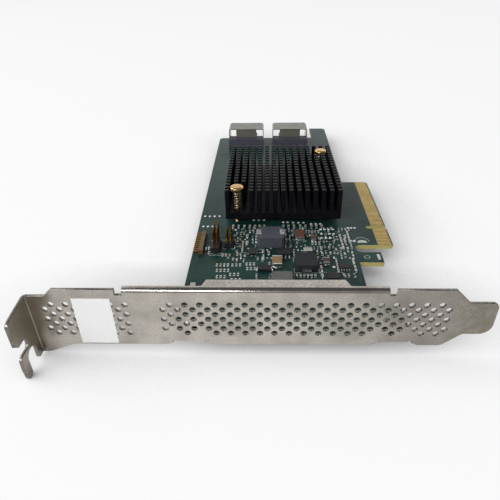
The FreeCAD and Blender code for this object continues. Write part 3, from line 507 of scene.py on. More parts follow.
class Shaper:
    """Collects the faces of one piece, in layout millimetres, and makes its object."""

    def __init__(self) -> None:
        """Start with no faces."""
        self.points: list[Vector] = []
        self.faces: list[tuple[int, ...]] = []
        self.paint: list[int] = []
        self.smooth: list[bool] = []

    def add(self, points: Iterable[Sequence[float]], faces: Iterable[Sequence[int]],
            paint: int = 0, smooth: bool = False) -> None:
        """Add points and the faces between them.

        Args:
            points: Points in layout millimetres.
            faces: Point numbers of each face, counted within these points.
            paint: Which of the piece's finishes the faces take.
            smooth: Whether the faces are shaded as one curved skin.
        """
        first = len(self.points)
        self.points += [Vector(point) for point in points]
        self.cover(first, faces, paint, smooth)

    def cover(self, first: int, faces: Iterable[Sequence[int]],
              paint: int = 0, smooth: bool = False) -> None:
        """Add faces between points that are already there.

        Args:
            first: Number of the point that the faces count from.
            faces: Point numbers of each face.
            paint: Which of the piece's finishes the faces take.
            smooth: Whether the faces are shaded as one curved skin.
        """
        for face in faces:
            self.faces.append(tuple(first + index for index in face))
            self.paint.append(paint)
            self.smooth.append(smooth)

    def box(self, low: Sequence[float], high: Sequence[float],
            bevel: float = 0.05, paint: int = 0) -> None:
        """Add a block with all its edges chamfered.

        Args:
            low: Lowest corner.
            high: Highest corner.
            bevel: Size of the chamfer.
            paint: Which of the piece's finishes it takes.
        """
        signs = [(a, b, c) for a in (0, 1) for b in (0, 1) for c in (0, 1)]
        points = []
        number = {}
        for corner in signs:
            for full in range(3):
                number[corner, full] = len(points)
                points.append([
                    (high[axis] if corner[axis] else low[axis])
                    + (0 if axis == full else (-bevel if corner[axis] else bevel)) for axis in range(3)
                ])
        faces = []
        for axis in range(3):
            one, two = [other for other in range(3) if other != axis]
            for side in (0, 1):
                ring = []
                for a, b in ((0, 0), (1, 0), (1, 1), (0, 1)):
                    corner = [0, 0, 0]
                    corner[axis], corner[one], corner[two] = side, a, b
                    ring.append(number[tuple(corner), axis])
                faces.append(ring if (side == 1) != (axis == 1) else ring[::-1])
            for a in (0, 1):
                for b in (0, 1):
                    start, stop = [0, 0, 0], [0, 0, 0]
                    start[axis], start[one], start[two] = 0, a, b
                    stop[axis], stop[one], stop[two] = 1, a, b
                    ring = [number[tuple(start), one], number[tuple(stop), one],
                            number[tuple(stop), two], number[tuple(start), two]]
                    faces.append(ring if ((a == b) == (axis == 1)) else ring[::-1])
        for corner in signs:
            ring = [number[corner, axis] for axis in range(3)]
            faces.append(ring if sum(corner) % 2 else ring[::-1])
        self.add(points, faces, paint)

    def lathe(self, centre: Pair, profile: Sequence[Pair], sides: int) -> None:
        """Add an upright turned shape with flat ends.

        Args:
            centre: X and Y of the axis.
            profile: Radius and height of each ring from the bottom up.
            sides: Faces round the axis.
        """
        points = [(centre[0] + radius * cosine, centre[1] + radius * sine, height)
                  for radius, height in profile for cosine, sine in circle(sides)]
        self.skin(points, sides)

    def skin(self, points: Sequence[Sequence[float]], sides: int) -> None:
        """Add the quads between rings of points and a flat face on each end.

        Args:
            points: Points of all the rings, one ring after the other.
            sides: How many points each ring has.
        """
        faces = []
        first, last = len(self.points), len(points) - sides
        for low in range(0, last, sides):
            for step in range(sides):
                after = (step + 1) % sides
                faces.append((low + step, low + after, low + sides + after, low + sides + step))
        self.add(points, faces, 0, True)
        self.cover(first, (range(sides - 1, -1, -1), range(last, last + sides)))

    def tube(self, path: Sequence[Vector], radius: float, sides: int) -> None:
        """Add a round wire along a path.

        Args:
            path: Points along the wire's middle.
            radius: Radius of the wire.
            sides: Faces round the wire.
        """
        points = []
        for index, spot in enumerate(path):
            ahead = path[min(index + 1, len(path) - 1)] - path[max(index - 1, 0)]
            across = ahead.cross(Vector((0, 0, 1))).normalized()
            over = across.cross(ahead).normalized()
            points += [spot + radius * (cosine * across + sine * over) for cosine, sine in circle(sides)]
        self.skin(points, sides)

    def prism(self, outline: Sequence[Pair], bottom: float, top: float) -> None:
        """Add an upright block.

        Args:
            outline: Corners on X and Y, counter-clockwise.
            bottom: Height of its underside.
            top: Height of its upper face.
        """
        count = len(outline)
        points = [(x, y, z) for z in (bottom, top) for x, y in outline]
        faces: list[Sequence[int]] = [range(count - 1, -1, -1), range(count, 2 * count)]
        faces += [(i, (i + 1) % count, count + (i + 1) % count, count + i) for i in range(count)]
        self.add(points, faces)

    def ribbon(self, path: Sequence[Pair], width: float, bottom: float, top: float,
               paint: int = 0) -> None:
        """Add a flat strip along a path on X and Y, with mitred corners.

        Args:
            path: Points along the strip's middle.
            width: Width of the strip.
            bottom: Height of its underside.
            top: Height of its upper face.
            paint: Which of the piece's finishes it takes.
        """
        left = shifted(path, width / 2)
        right = shifted(path, -width / 2)
        count = len(path)
        points = [(x, y, z) for line in (right, left) for z in (bottom, top) for x, y in line]
        faces = []
        for i in range(count - 1):
            rb, rt, lb, lt = i, count + i, 2 * count + i, 3 * count + i
            faces += [(rt, rt + 1, lt + 1, lt), (rb, rb + 1, rt + 1, rt), (lt, lt + 1, lb + 1, lb),
                      (lb, lb + 1, rb + 1, rb)]
        end = count - 1
        faces += [(0, count, 3 * count, 2 * count), (end, 2 * count + end, 3 * count + end, count + end)]
        self.add(points, faces, paint)

    def make(self, name: str, slot: str, finishes: Sequence[Finish], *replaced: str) -> None:
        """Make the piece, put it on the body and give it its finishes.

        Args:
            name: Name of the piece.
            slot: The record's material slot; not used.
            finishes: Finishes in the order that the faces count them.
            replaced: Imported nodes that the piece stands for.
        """
        mesh = bpy.data.meshes.new(name)
        mesh.from_pydata([to_frame(point) for point in self.points], [], self.faces)
        mesh.polygons.foreach_set("material_index", self.paint)
        mesh.polygons.foreach_set("use_smooth", self.smooth)
        for finish in finishes:
            mesh.materials.append(finish.make())
        mesh.validate()
        mesh.update()
        piece = bpy.data.objects.new(name, mesh)
        bpy.context.scene.collection.objects.link(piece)
        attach(piece, "root")
        if replaced:
            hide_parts(*replaced)
        log.info("%s: %d faces, in place of %s", name, len(self.faces), ", ".join(replaced) or "nothing")


def circle(sides: int, start: float = 0.0) -> list[Pair]:
    """Cosine and sine of even steps round a circle.

    Args:
        sides: Number of steps.
        start: Angle of the first step.

    Returns:
        A pair for each step.
    """
    turns = [math.tau * step / sides + start for step in range(sides)]
    return [(math.cos(turn), math.sin(turn)) for turn in turns]


def shifted(path: Sequence[Pair], offset: float) -> list[Pair]:
    """Path on X and Y moved to its left, with mitred corners.

    Args:
        path: Points of the path.
        offset: How far it moves, or to the right if below nought.

    Returns:
        The moved points.
    """
    spots = [Vector(spot) for spot in path]
    moved = []
    for index, spot in enumerate(spots):
        before = (spot - spots[index - 1]).normalized() if index else None
        after = (spots[index + 1] - spot).normalized() if index + 1 < len(spots) else None
        before = before or after
        after = after or before
        normal = Vector((-before.y - after.y, before.x + after.x)).normalized()
        reach = offset / max(SHARPEST_MITRE, normal.dot(Vector((-before.y, before.x))))
        moved.append((spot.x + reach * normal.x, spot.y + reach * normal.y))
    return moved


def rounded(corners: Sequence[Sequence[float]], steps: int) -> list[Vector]:
    """Outline through corners, with an arc at each corner that gives a radius.

    Args:
        corners: Two places and, where the corner is rounded, a radius.
        steps: Straight runs in each arc.

    Returns:
        The points of the outline.
    """
    points = []
    count = len(corners)
    for index, corner in enumerate(corners):
        spot = Vector(corner[:2])
        if len(corner) == 2:
            points.append(spot)
            continue
        back = (Vector(corners[index - 1][:2]) - spot).normalized()
        ahead = (Vector(corners[(index + 1) % count][:2]) - spot).normalized()
        half = back.angle(ahead) / 2
        reach = corner[2] / math.tan(half)
        start, end = spot + reach * back, spot + reach * ahead
        middle = spot + (corner[2] / math.sin(half)) * (back + ahead).normalized()
        first = math.atan2(start.y - middle.y, start.x - middle.x)
        sweep = (math.atan2(end.y - middle.y, end.x - middle.x) - first + math.pi) % math.tau - math.pi
        for step in range(steps + 1):
            turn = first + sweep * step / steps
            points.append(middle + corner[2] * Vector((math.cos(turn), math.sin(turn))))
    return points


def inward(before: Vector, spot: Vector, after: Vector) -> Vector:
    """Mitred direction to the left of a path at one of its points.

    Args:
        before: The point before it.
        spot: The point itself.
        after: The point after it.

    Returns:
        The direction, longer where the corner is sharper.
    """
    come, go = (spot - before).normalized(), (after - spot).normalized()
    side = Vector((-come.y - go.y, come.x + go.x)).normalized()
    return side / max(SHARPEST_RIM, side.dot(Vector((-come.y, come.x))))


def dress(finish: Finish, bevel: float, *names: str) -> None:
    """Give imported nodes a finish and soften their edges.

    Args:
        finish: The finish that they all take.
        bevel: Width of the softened edges in millimetres, or nought for none.
        names: The nodes.
    """
    for name in names:
        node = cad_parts[name]
        node.data.materials.clear()
        node.data.materials.append(finish.make())
        if bevel:
            edge = node.modifiers.new("softened_edges", "BEVEL")
            edge.width = bevel * MM
            edge.segments = EDGE_SEGMENTS
            edge.limit_method = "ANGLE"
            edge.harden_normals = True
        log.info("%s: %s", name, finish.name)


@dataclass
class Bracket:
    """One folded sheet with a screw tab, a lip, two board tabs, a tongue and rows of round vents.

    Places count from the screw tab along the bracket. The tab's own places count out from the face.
    """

    sheet: float = 0.86
    inside: float = 0.25
    length: float = 120.02
    width: float = 18.42
    bottom: float = SOLDER_SIDE - 1.25
    tab_set_back: float = 2.1
    tab_drop: float = 2.9
    tab_depth: float = 9.9
    tab_fold: float = 0.25
    slot_end: float = 4.81
    slot_round: float = 1.45
    finger_start: float = 6.81
    finger_round: float = 1.05
    notch_start: float = 2.39
    notch_round: float = 2.18
    lower_sweep: Pair = (2.8, 10.2)
    sweep_round: float = 5.0
    upper_step: Pair = (5.7, 7.9)
    lip_start: float = 25.6
    lip_end: float = 92.4
    lip_depth: float = 1.75
    lip_tab: Pair = (46.5, 82.0)
    lip_tab_depth: float = 4.35
    lip_tab_slope: float = 1.0
    lip_relief: Pair = (1.8, 0.6)
    lip_slack: float = 0.5
    board_tabs: Pair = (38.0, 91.8)
    board_tab_width: float = 7.55
    board_tab_depth: float = 9.0
    board_tab_chamfer: float = 1.2
    board_tab_slack: float = 0.4
    relief: float = 0.9
    relief_ramp: Pair = (1.6, 0.7)
    screw_from_face: float = 5.4
    screw_hole: float = 1.55
    tongue_start: float = 112.75
    tongue_inset: float = 4.115
    tongue_sweep: float = 4.8
    tongue_corner: float = 1.6
    tongue_swept_corner: float = 3.2
    shoulder_start: float = 108.65
    vent_radius: float = 0.8
    vent_pitch: float = 3.81
    vent_row_pitch: float = 1.5875
    vent_rows: int = 7
    vent_first: float = 6.87
    vent_drop: float = 4.8
    vent_end_gap: float = 0.7
    vent_room: float = 2.2
    vent_columns_left: int = 6
    vent_columns_skipped: int = 2
    label: Pair = (12.5, 22.35)
    rim: float = 0.09
    bend_steps: int = 8
    corner_steps: int = 8
    hole_sides: int = 24
    hole_turn: float = 0.1
    merge_gap: float = 1e-5

    def __post_init__(self) -> None:
        """Work out the folds from the sheet."""
        self.outside = self.sheet + self.inside
        self.top = self.bottom + self.width
        self.lip_fold = self.top - self.outside
        self.board_fold = SOLDER_SIDE + self.inside
        self.arc = (self.inside + self.sheet / 2) * math.pi / 2

    def screw_tab_outline(self) -> list[tuple]:
        """Corners of the screw tab on the flat sheet, from its upper fold round to its lower one.

        Returns:
            Two places and, where the corner is rounded, a radius.
        """
        high, foot = self.top - self.tab_set_back, self.bottom - self.tab_drop
        notch, hook, slot, tip = foot + 5.8, foot + 6.75, foot + 9.95, foot - 1.05
        on_y = [
            (-self.tab_fold, high), (-self.tab_depth, high - 0.9, 1.4),
            (-self.tab_depth, slot + 1.2), (-8.7, slot), (-self.slot_end, slot, self.slot_round),
            (-self.slot_end, hook, self.slot_round), (-9.5, hook, 1.4), (-9.7, (hook + tip) / 2, 5.0),
            (-9.2, tip, self.finger_round), (-self.finger_start, tip, self.finger_round),
            (-self.finger_start, notch, self.notch_round), (-self.notch_start, notch, self.notch_round),
            (-self.notch_start, foot, 0.8), (-self.tab_fold, foot),
        ]
        shift = self.outside - self.arc + self.inside
        return [(corner[0] + shift, *corner[1:]) for corner in on_y]

    def flat_outline(self) -> list[tuple]:
        """Corners of the whole sheet before it is folded, counter-clockwise from its lower left.

        Returns:
            Two places and, where the corner is rounded, a radius.
        """
        bottom, top, fold = self.bottom, self.top, self.board_fold
        run = self.arc - self.outside
        relief, relief_depth = self.lip_relief
        notch = self.lip_fold - relief_depth
        lip, lip_tab = (self.lip_fold + run + depth for depth in (self.lip_depth, self.lip_tab_depth))
        tab_end = fold - run - self.board_tab_depth
        chamfer = self.board_tab_chamfer
        ramp, rise = self.relief_ramp
        corners: list[tuple] = [
            (self.lower_sweep[0], bottom - self.tab_drop, self.sweep_round),
            (self.lower_sweep[1], bottom, self.sweep_round),
        ]
        for start in self.board_tabs:
            end = start + self.board_tab_width
            left, right = start - self.relief, end + self.relief
            corners += [
                (left - ramp, bottom), (left, bottom + rise), (left, fold), (start, fold),
                (start, tab_end + chamfer), (start + chamfer, tab_end), (end - chamfer, tab_end),
                (end, tab_end + chamfer), (end, fold), (right, fold), (right, bottom + rise),
                (right + ramp, bottom),
            ]
        inset, tight, swept = self.tongue_inset, self.tongue_corner, self.tongue_swept_corner
        slope = self.lip_tab_slope
        corners += [
            (self.tongue_start - self.tongue_sweep, bottom, swept),
            (self.tongue_start, bottom + inset, tight), (self.length, bottom + inset, swept),
            (self.length, top - inset, tight), (self.tongue_start, top - inset),
            (self.shoulder_start, top), (self.lip_end + relief, top), (self.lip_end + relief, notch),
            (self.lip_end, notch), (self.lip_end, self.lip_fold), (self.lip_end, lip),
            (self.lip_tab[1] + slope, lip), (self.lip_tab[1], lip_tab), (self.lip_tab[0], lip_tab),
            (self.lip_tab[0] - slope, lip), (self.lip_start, lip), (self.lip_start, self.lip_fold),
            (self.lip_start, notch), (self.lip_start - relief, notch), (self.lip_start - relief, top),
            (self.upper_step[1], top), (self.upper_step[0], top - self.tab_set_back),
        ]
        return corners + self.screw_tab_outline()

    def vents(self) -> list[Vector]:
        """Middles of the vents, in staggered rows that keep clear of the label and the board tabs."""
        half = self.relief / 2
        reliefs = [start + side for start in self.board_tabs
                   for side in (-half, self.board_tab_width + half)]
        left, last = self.vent_columns_left, self.vent_rows - 1
        places = []
        for row in range(self.vent_rows):
            first = self.vent_first - row % 2 * self.vent_pitch / 2
            fit = 1 + int((self.shoulder_start - self.vent_end_gap - first) / self.vent_pitch)
            for column in [*range(left), *range(left + self.vent_columns_skipped, fit)]:
                x = first + column * self.vent_pitch
                covered = self.label[0] + self.vent_radius < x < self.label[1] - self.vent_radius
                near = any(abs(x - relief) < self.vent_room for relief in reliefs)
                if not covered and not (row == last and near):
                    places.append(Vector((x, self.top - self.vent_drop - row * self.vent_row_pitch)))
        return places

    def screw_holes(self) -> list[Vector]:
        """Middles of the holes in the board tabs, on the flat sheet."""
        level = self.board_fold - (self.arc - self.outside) - self.screw_from_face
        return [Vector((start + self.board_tab_width / 2, level)) for start in self.board_tabs]

    def fold_lines(self) -> list[tuple[Vector, Vector]]:
        """Lines across the bends on the flat sheet."""
        lines = []
        high, foot = self.top - self.tab_set_back, self.bottom - self.tab_drop
        for step in range(self.bend_steps + 1):
            run = self.arc * step / self.bend_steps
            lip, tab, level = self.lip_fold + run, self.outside - run, self.board_fold - run
            lines.append((Vector((self.lip_start, lip)), Vector((self.lip_end, lip))))
            lines.append((Vector((tab, foot)), Vector((tab, high))))
            for start in self.board_tabs:
                lines.append((Vector((start, level)), Vector((start + self.board_tab_width, level))))
        return lines

    def bent(self, run: float, sign: int, fold: float, depth: float) -> Pair:
        """Y and Z of a point that a bend carries back along the card.

        Args:
            run: Way past the fold on the flat sheet.
            sign: Plus one for a flap above the fold and minus one for one below it.
            fold: Height of the fold.
            depth: Depth below the sheet's outer face.

        Returns:
            The point's Y and Z.
        """
        radius = self.outside - depth
        turn = min(run / self.arc, 1.0) * math.pi / 2
        y = self.outside - radius * math.cos(turn) + max(0.0, run - self.arc)
        return y, fold + sign * radius * math.sin(turn)

    def place(self, u: float, v: float, depth: float) -> Vector:
        """Point of the folded bracket for a point of the flat sheet.

        Args:
            u: Place along the sheet.
            v: Height on the sheet.
            depth: Depth below the sheet's outer face.

        Returns:
            The point in layout millimetres.
        """
        if u < self.outside:
            run = self.outside - u
            turn = min(run / self.arc, 1.0) * math.pi / 2
            radius = self.inside + depth
            y = -self.inside + radius * math.cos(turn) - max(0.0, run - self.arc)
            return Vector((self.outside - radius * math.sin(turn), y, v))
        if v > self.lip_fold and self.lip_start - self.lip_slack < u < self.lip_end + self.lip_slack:
            return Vector((u, *self.bent(v - self.lip_fold, 1, self.lip_fold, depth)))
        slack = self.board_tab_slack
        for start in self.board_tabs:
            if v < self.board_fold and start - slack < u < start + self.board_tab_width + slack:
                return Vector((u, *self.bent(self.board_fold - v, -1, self.board_fold, depth)))
        return Vector((u, depth, v))

    def in_bend(self, spot: Vector) -> bool:
        """Whether a point of the flat sheet lies in one of the bends.

        Args:
            spot: The point.

        Returns:
            True in the bend of the screw tab, the lip or a board tab.
        """
        on_tab = any(start < spot.x < start + self.board_tab_width for start in self.board_tabs)
        on_lip = self.lip_start < spot.x < self.lip_end
        return (self.outside - self.arc < spot.x < self.outside
                or (on_lip and self.lip_fold < spot.y < self.lip_fold + self.arc)
                or (on_tab and self.board_fold - self.arc < spot.y < self.board_fold))

    def flat_mesh(self) -> tuple[list[Vector], list[tuple[int, ...]]]:
        """Points and triangles of the flat sheet inside its rims, with the holes left open.

        Returns:
            The points and the triangles, counter-clockwise.
        """
        outline = rounded(self.flat_outline(), self.corner_steps)
        around = zip(outline[-1:] + outline[:-1], outline, outline[1:] + outline[:1])
        loops = [[spot + self.rim * inward(before, spot, after) for before, spot, after in around]]
        holes = [(spot, self.vent_radius + self.rim) for spot in self.vents()]
        holes += [(spot, self.screw_hole + self.rim) for spot in self.screw_holes()]
        for index, (spot, radius) in enumerate(holes):
            ring = circle(self.hole_sides, self.hole_turn * index)
            loops.append([spot + radius * Vector(way) for way in ring])
        points: list[Vector] = []
        edges = []
        for loop in loops:
            first = len(points)
            points += loop
            edges += [(first + i, first + (i + 1) % len(loop)) for i in range(len(loop))]
        for start, end in self.fold_lines():
            edges.append((len(points), len(points) + 1))
            points += [start, end]
        spots, _, triangles, *_ = delaunay_2d_cdt(points, edges, [], 1, self.merge_gap)
        kept = []
        for triangle in triangles:
            middle = sum((spots[i] for i in triangle), Vector((0, 0))) / len(triangle)
            # The rings have straight sides, whose middles lie a little inside the radius.
            if all((middle - spot).length > radius * 0.97 for spot, radius in holes):
                kept.append(tuple(triangle))
        return spots, kept

    def build(self) -> None:
        """Thicken the flat sheet with rounded rims, fold it and make the piece."""
        spots, triangles = self.flat_mesh()
        ahead: dict[int, int] = {}
        sides = {(t[i], t[(i + 1) % 3]) for t in triangles for i in range(3)}
        for start, end in sides:
            if (end, start) not in sides:
                ahead[start] = end
        behind = {end: start for start, end in ahead.items()}
        rim = self.rim
        rings = [(0.0, 0.0), (rim * math.sqrt(0.5), rim * (1 - math.sqrt(0.5))), (rim, rim)]
        rings += [(out, self.sheet - depth) for out, depth in reversed(rings)]
        inner_spots = {index for triangle in triangles for index in triangle} - set(ahead)
        shape = Shaper()
        front: dict[int, int] = {}
        back: dict[int, int] = {}
        points: list[Vector] = []
        edge_points: dict[int, list[int]] = {}
        for index in sorted(ahead):
            side = inward(spots[behind[index]], spots[index], spots[ahead[index]])
            edge_points[index] = list(range(len(points), len(points) + len(rings)))
            points += [self.place(*(spots[index] - out * side), depth) for out, depth in rings]
            front[index], back[index] = edge_points[index][0], edge_points[index][-1]
        for index in sorted(inner_spots):
            front[index], back[index] = len(points), len(points) + 1
            points += [self.place(*spots[index], depth) for depth in (0.0, self.sheet)]
        shape.add(points, [])
        for triangle in triangles:
            smooth = self.in_bend(sum((spots[i] for i in triangle), Vector((0, 0))) / 3)
            outer, inner = [front[i] for i in triangle], [back[i] for i in reversed(triangle)]
            shape.cover(0, (outer, inner), 0, smooth)
        for start, end in ahead.items():
            one, two = edge_points[start], edge_points[end]
            shape.cover(0, [(one[i], one[i + 1], two[i + 1], two[i]) for i in range(len(rings) - 1)], 1, True)
        shape.make("folded_bracket", "bracket_steel", (STEEL, CUT_STEEL), "bracket")


@dataclass
class Screws:
    """Pan-head screws that hold the card on the bracket's tabs, with a raised black cross of painted shade
    for each cross recess.
    """

    places: tuple[Pair, ...] = ((41.775, 5.4), (95.575, 5.4))
    head: float = 2.5
    height: float = 1.7
    rim: float = 0.6
    flat: float = 0.9
    shank: float = 1.5
    chamfer: float = 0.3
    end: float = SOLDER_SIDE - 0.86 - 0.3
    recess: float = 1.35
    recess_width: float = 0.5
    recess_turn: float = 0.6
    proud: float = 0.005
    sides: int = 40
    dome_steps: int = 6

    def profile(self) -> list[Pair]:
        """Radius and height of each ring of a screw, from its end up over its domed head."""
        rings = [(self.shank - self.chamfer, self.end), (self.shank, self.end + self.chamfer),
                 (self.shank, 0.0), (self.head - 0.1, 0.0), (self.head, 0.12), (self.head, self.rim)]
        for step in range(1, self.dome_steps):
            turn = math.pi / 2 * step / self.dome_steps
            rings.append((self.flat + (self.head - self.flat) * math.cos(turn),
                          self.rim + (self.height - self.rim) * math.sin(turn)))
        return rings + [(self.flat, self.height)]

    def build(self) -> None:
        """Turn the heads and shanks and lay a raised black cross of painted shade, for the recess, on each
        head.
        """
        shape = Shaper()
        for x, y in self.places:
            shape.lathe((x, y), self.profile(), self.sides)
            # Painted shade: the cross recess is a black bar standing proud of the dome, not a hollow.
            for turn in (self.recess_turn, self.recess_turn + math.pi / 2):
                reach = self.recess * Vector((math.cos(turn), math.sin(turn)))
                shape.ribbon([(x - reach.x, y - reach.y), (x + reach.x, y + reach.y)], self.recess_width,
                             self.height - self.recess_width, self.height + self.proud, 1)
        shape.make("pan_head_screws", "screw_steel", (SCREW, GLAZE), "bracket_screws")


@dataclass
class HeatSink:
    """Black base plate with a close grid of pins, and the sprung brass pins that hold it down."""

    columns: int = 15
    rows: int = 18
    base: float = 2.7
    pin_width: float = 1.6
    pin_depth: float = 1.5
    chamfer: float = 0.14
    plate_chamfer: float = 0.12
    sunk: float = 0.1
    fixings: tuple[Pair, ...] = ((51.15, 62.5), (84.95, 98.2))
    fixing_room: float = 2.6
    head: float = 2.45
    head_height: float = 1.3
    shank: float = 0.8
    barb: float = 1.2
    barb_gap: float = 0.02
    wire: float = 0.21
    coil: float = 1.09
    turns: float = 8.0
    turn_steps: int = 24
    wire_sides: int = 8
    pin_sides: int = 40

    def build(self) -> None:
        """Build the sink, the pins and the springs."""
        low, high = node_box("heat_sink")
        self.build_sink(low, high)
        self.build_pins()
        self.build_springs(low.z + self.base)

    def build_sink(self, low: Vector, high: Vector) -> None:
        """Base plate and pins, left out round the fixings.

        Args:
            low: Lowest corner of the sink.
            high: Highest corner of the sink.
        """
        shape = Shaper()
        floor = low.z + self.base
        shape.box(low, (high.x, high.y, floor), self.plate_chamfer)
        across = (high.x - low.x - self.pin_width) / (self.columns - 1)
        along = (high.y - low.y - self.pin_depth) / (self.rows - 1)
        half_width, half_depth = self.pin_width / 2, self.pin_depth / 2
        for column in range(self.columns):
            x = low.x + column * across
            for row in range(self.rows):
                y = low.y + row * along
                if any(abs(x + half_width - fix[0]) < self.fixing_room + half_width
                       and abs(y + half_depth - fix[1]) < self.fixing_room + half_depth
                       for fix in self.fixings):
                    continue
                shape.box((x, y, floor - self.sunk), (x + self.pin_width, y + self.pin_depth, high.z),
                          self.chamfer)
        shape.make("pin_heat_sink", "sink_black", (ANODISED,), "heat_sink")

    def build_pins(self) -> None:
        """Turned brass pins with rounded heads and barbed ends."""
        low, high = node_box("heat_sink_pins")
        shape = Shaper()
        floor, barb = high.z - self.head_height, SOLDER_SIDE - self.barb_gap
        profile = [
            (0.45, low.z), (self.shank, low.z + 0.5), (self.barb, SOLDER_SIDE - 0.25), (self.barb, barb),
            (self.shank, barb), (self.shank, floor), (self.head - 0.15, floor), (self.head, floor + 0.15),
            (self.head, high.z - 0.45), (self.head - 0.12, high.z - 0.2), (self.head - 0.4, high.z - 0.06),
            (self.head - 0.8, high.z), (0.4, high.z + 0.01),
        ]
        for fixing in self.fixings:
            shape.lathe(fixing, profile, self.pin_sides)
        shape.make("brass_pins", "pin_brass", (BRASS,), "heat_sink_pins")

    def build_springs(self, floor: float) -> None:
        """Wire coils between the base plate and the pins' heads.

        Args:
            floor: Height of the base plate's upper face.
        """
        top = node_box("heat_sink_pins")[1].z - self.head_height
        shape = Shaper()
        count = int(self.turns * self.turn_steps)
        for x, y in self.fixings:
            path = []
            for step in range(count + 1):
                turn = math.tau * self.turns * step / count
                rise = floor + self.wire + (top - floor - 2 * self.wire) * step / count
                path.append(Vector((x + self.coil * math.cos(turn), y + self.coil * math.sin(turn), rise)))
            shape.tube(path, self.wire, self.wire_sides)
        shape.make("coil_springs", "spring_steel", (SPRING,), "heat_sink_springs")


@dataclass
class Headers:
    """Square pins with tapered tips in the three header bases."""

    pitch: float = 1.27
    half: float = 0.225
    taper: float = 0.5
    tip_share: float = 0.45
    edge_chamfer: float = 0.08
    base_bevel: float = 0.12
    tall: tuple[Pair, int] = ((7.85, 44.1), 6)
    short: tuple[Pair, int] = ((12.1, 45.7), 4)
    edge: tuple[float, int] = (45.7, 10)

    def steps(self, count: int) -> list[float]:
        """Places of a row's pins about its middle."""
        return [(index - (count - 1) / 2) * self.pitch for index in range(count)]

    def upright(self, name: str, row: tuple[Pair, int], node: str) -> None:
        """Two rows of upright pins.

        Args:
            name: Name of the piece.
            row: Place from the card's upper edge and the bracket's face, and how many pins are in a row.
            node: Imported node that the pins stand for.
        """
        (u, v), count = row
        low, high = node_box(node)
        shape = Shaper()
        for x in self.steps(2):
            for y in self.steps(count):
                self.pin(shape, (UPPER_EDGE + u + x, v + y), low.z, high.z)
        shape.make(name, "contact_gold", (PIN_GOLD,), node)

    def pin(self, shape: Shaper, centre: Pair, low: float, high: float) -> None:
        """Add one upright pin with a tapered tip.

        Args:
            shape: Shaper that takes the pin.
            centre: X and Y of its middle.
            low: Height of its foot.
            high: Height of its tip.
        """
        rings = [(self.half, low), (self.half, high - self.taper), (self.half * self.tip_share, high)]
        points = [(centre[0] + a * half, centre[1] + b * half, z)
                  for half, z in rings for a, b in ((-1, -1), (1, -1), (1, 1), (-1, 1))]
        faces = [(r * 4 + i, r * 4 + (i + 1) % 4, r * 4 + 4 + (i + 1) % 4, r * 4 + 4 + i)
                 for r in range(2) for i in range(4)]
        shape.add(points, faces + [(3, 2, 1, 0), (8, 9, 10, 11)])

    def build(self) -> None:
        """Build the pins and dress the bases."""
        self.upright("tall_header_posts", self.tall, "tall_header_pins")
        self.upright("short_header_posts", self.short, "short_header_pins")
        low, high = node_box("edge_header_pins")
        shape = Shaper()
        middle, count = self.edge
        for y in self.steps(count):
            shape.box((low.x, middle + y - self.half, low.z), (high.x, middle + y + self.half, high.z),
                      self.edge_chamfer)
        shape.make("edge_header_posts", "contact_gold", (PIN_GOLD,), "edge_header_pins")
        dress(NYLON, self.base_bevel, "tall_header_base", "short_header_base")
        dress(AMBER, self.base_bevel, "edge_header_base")


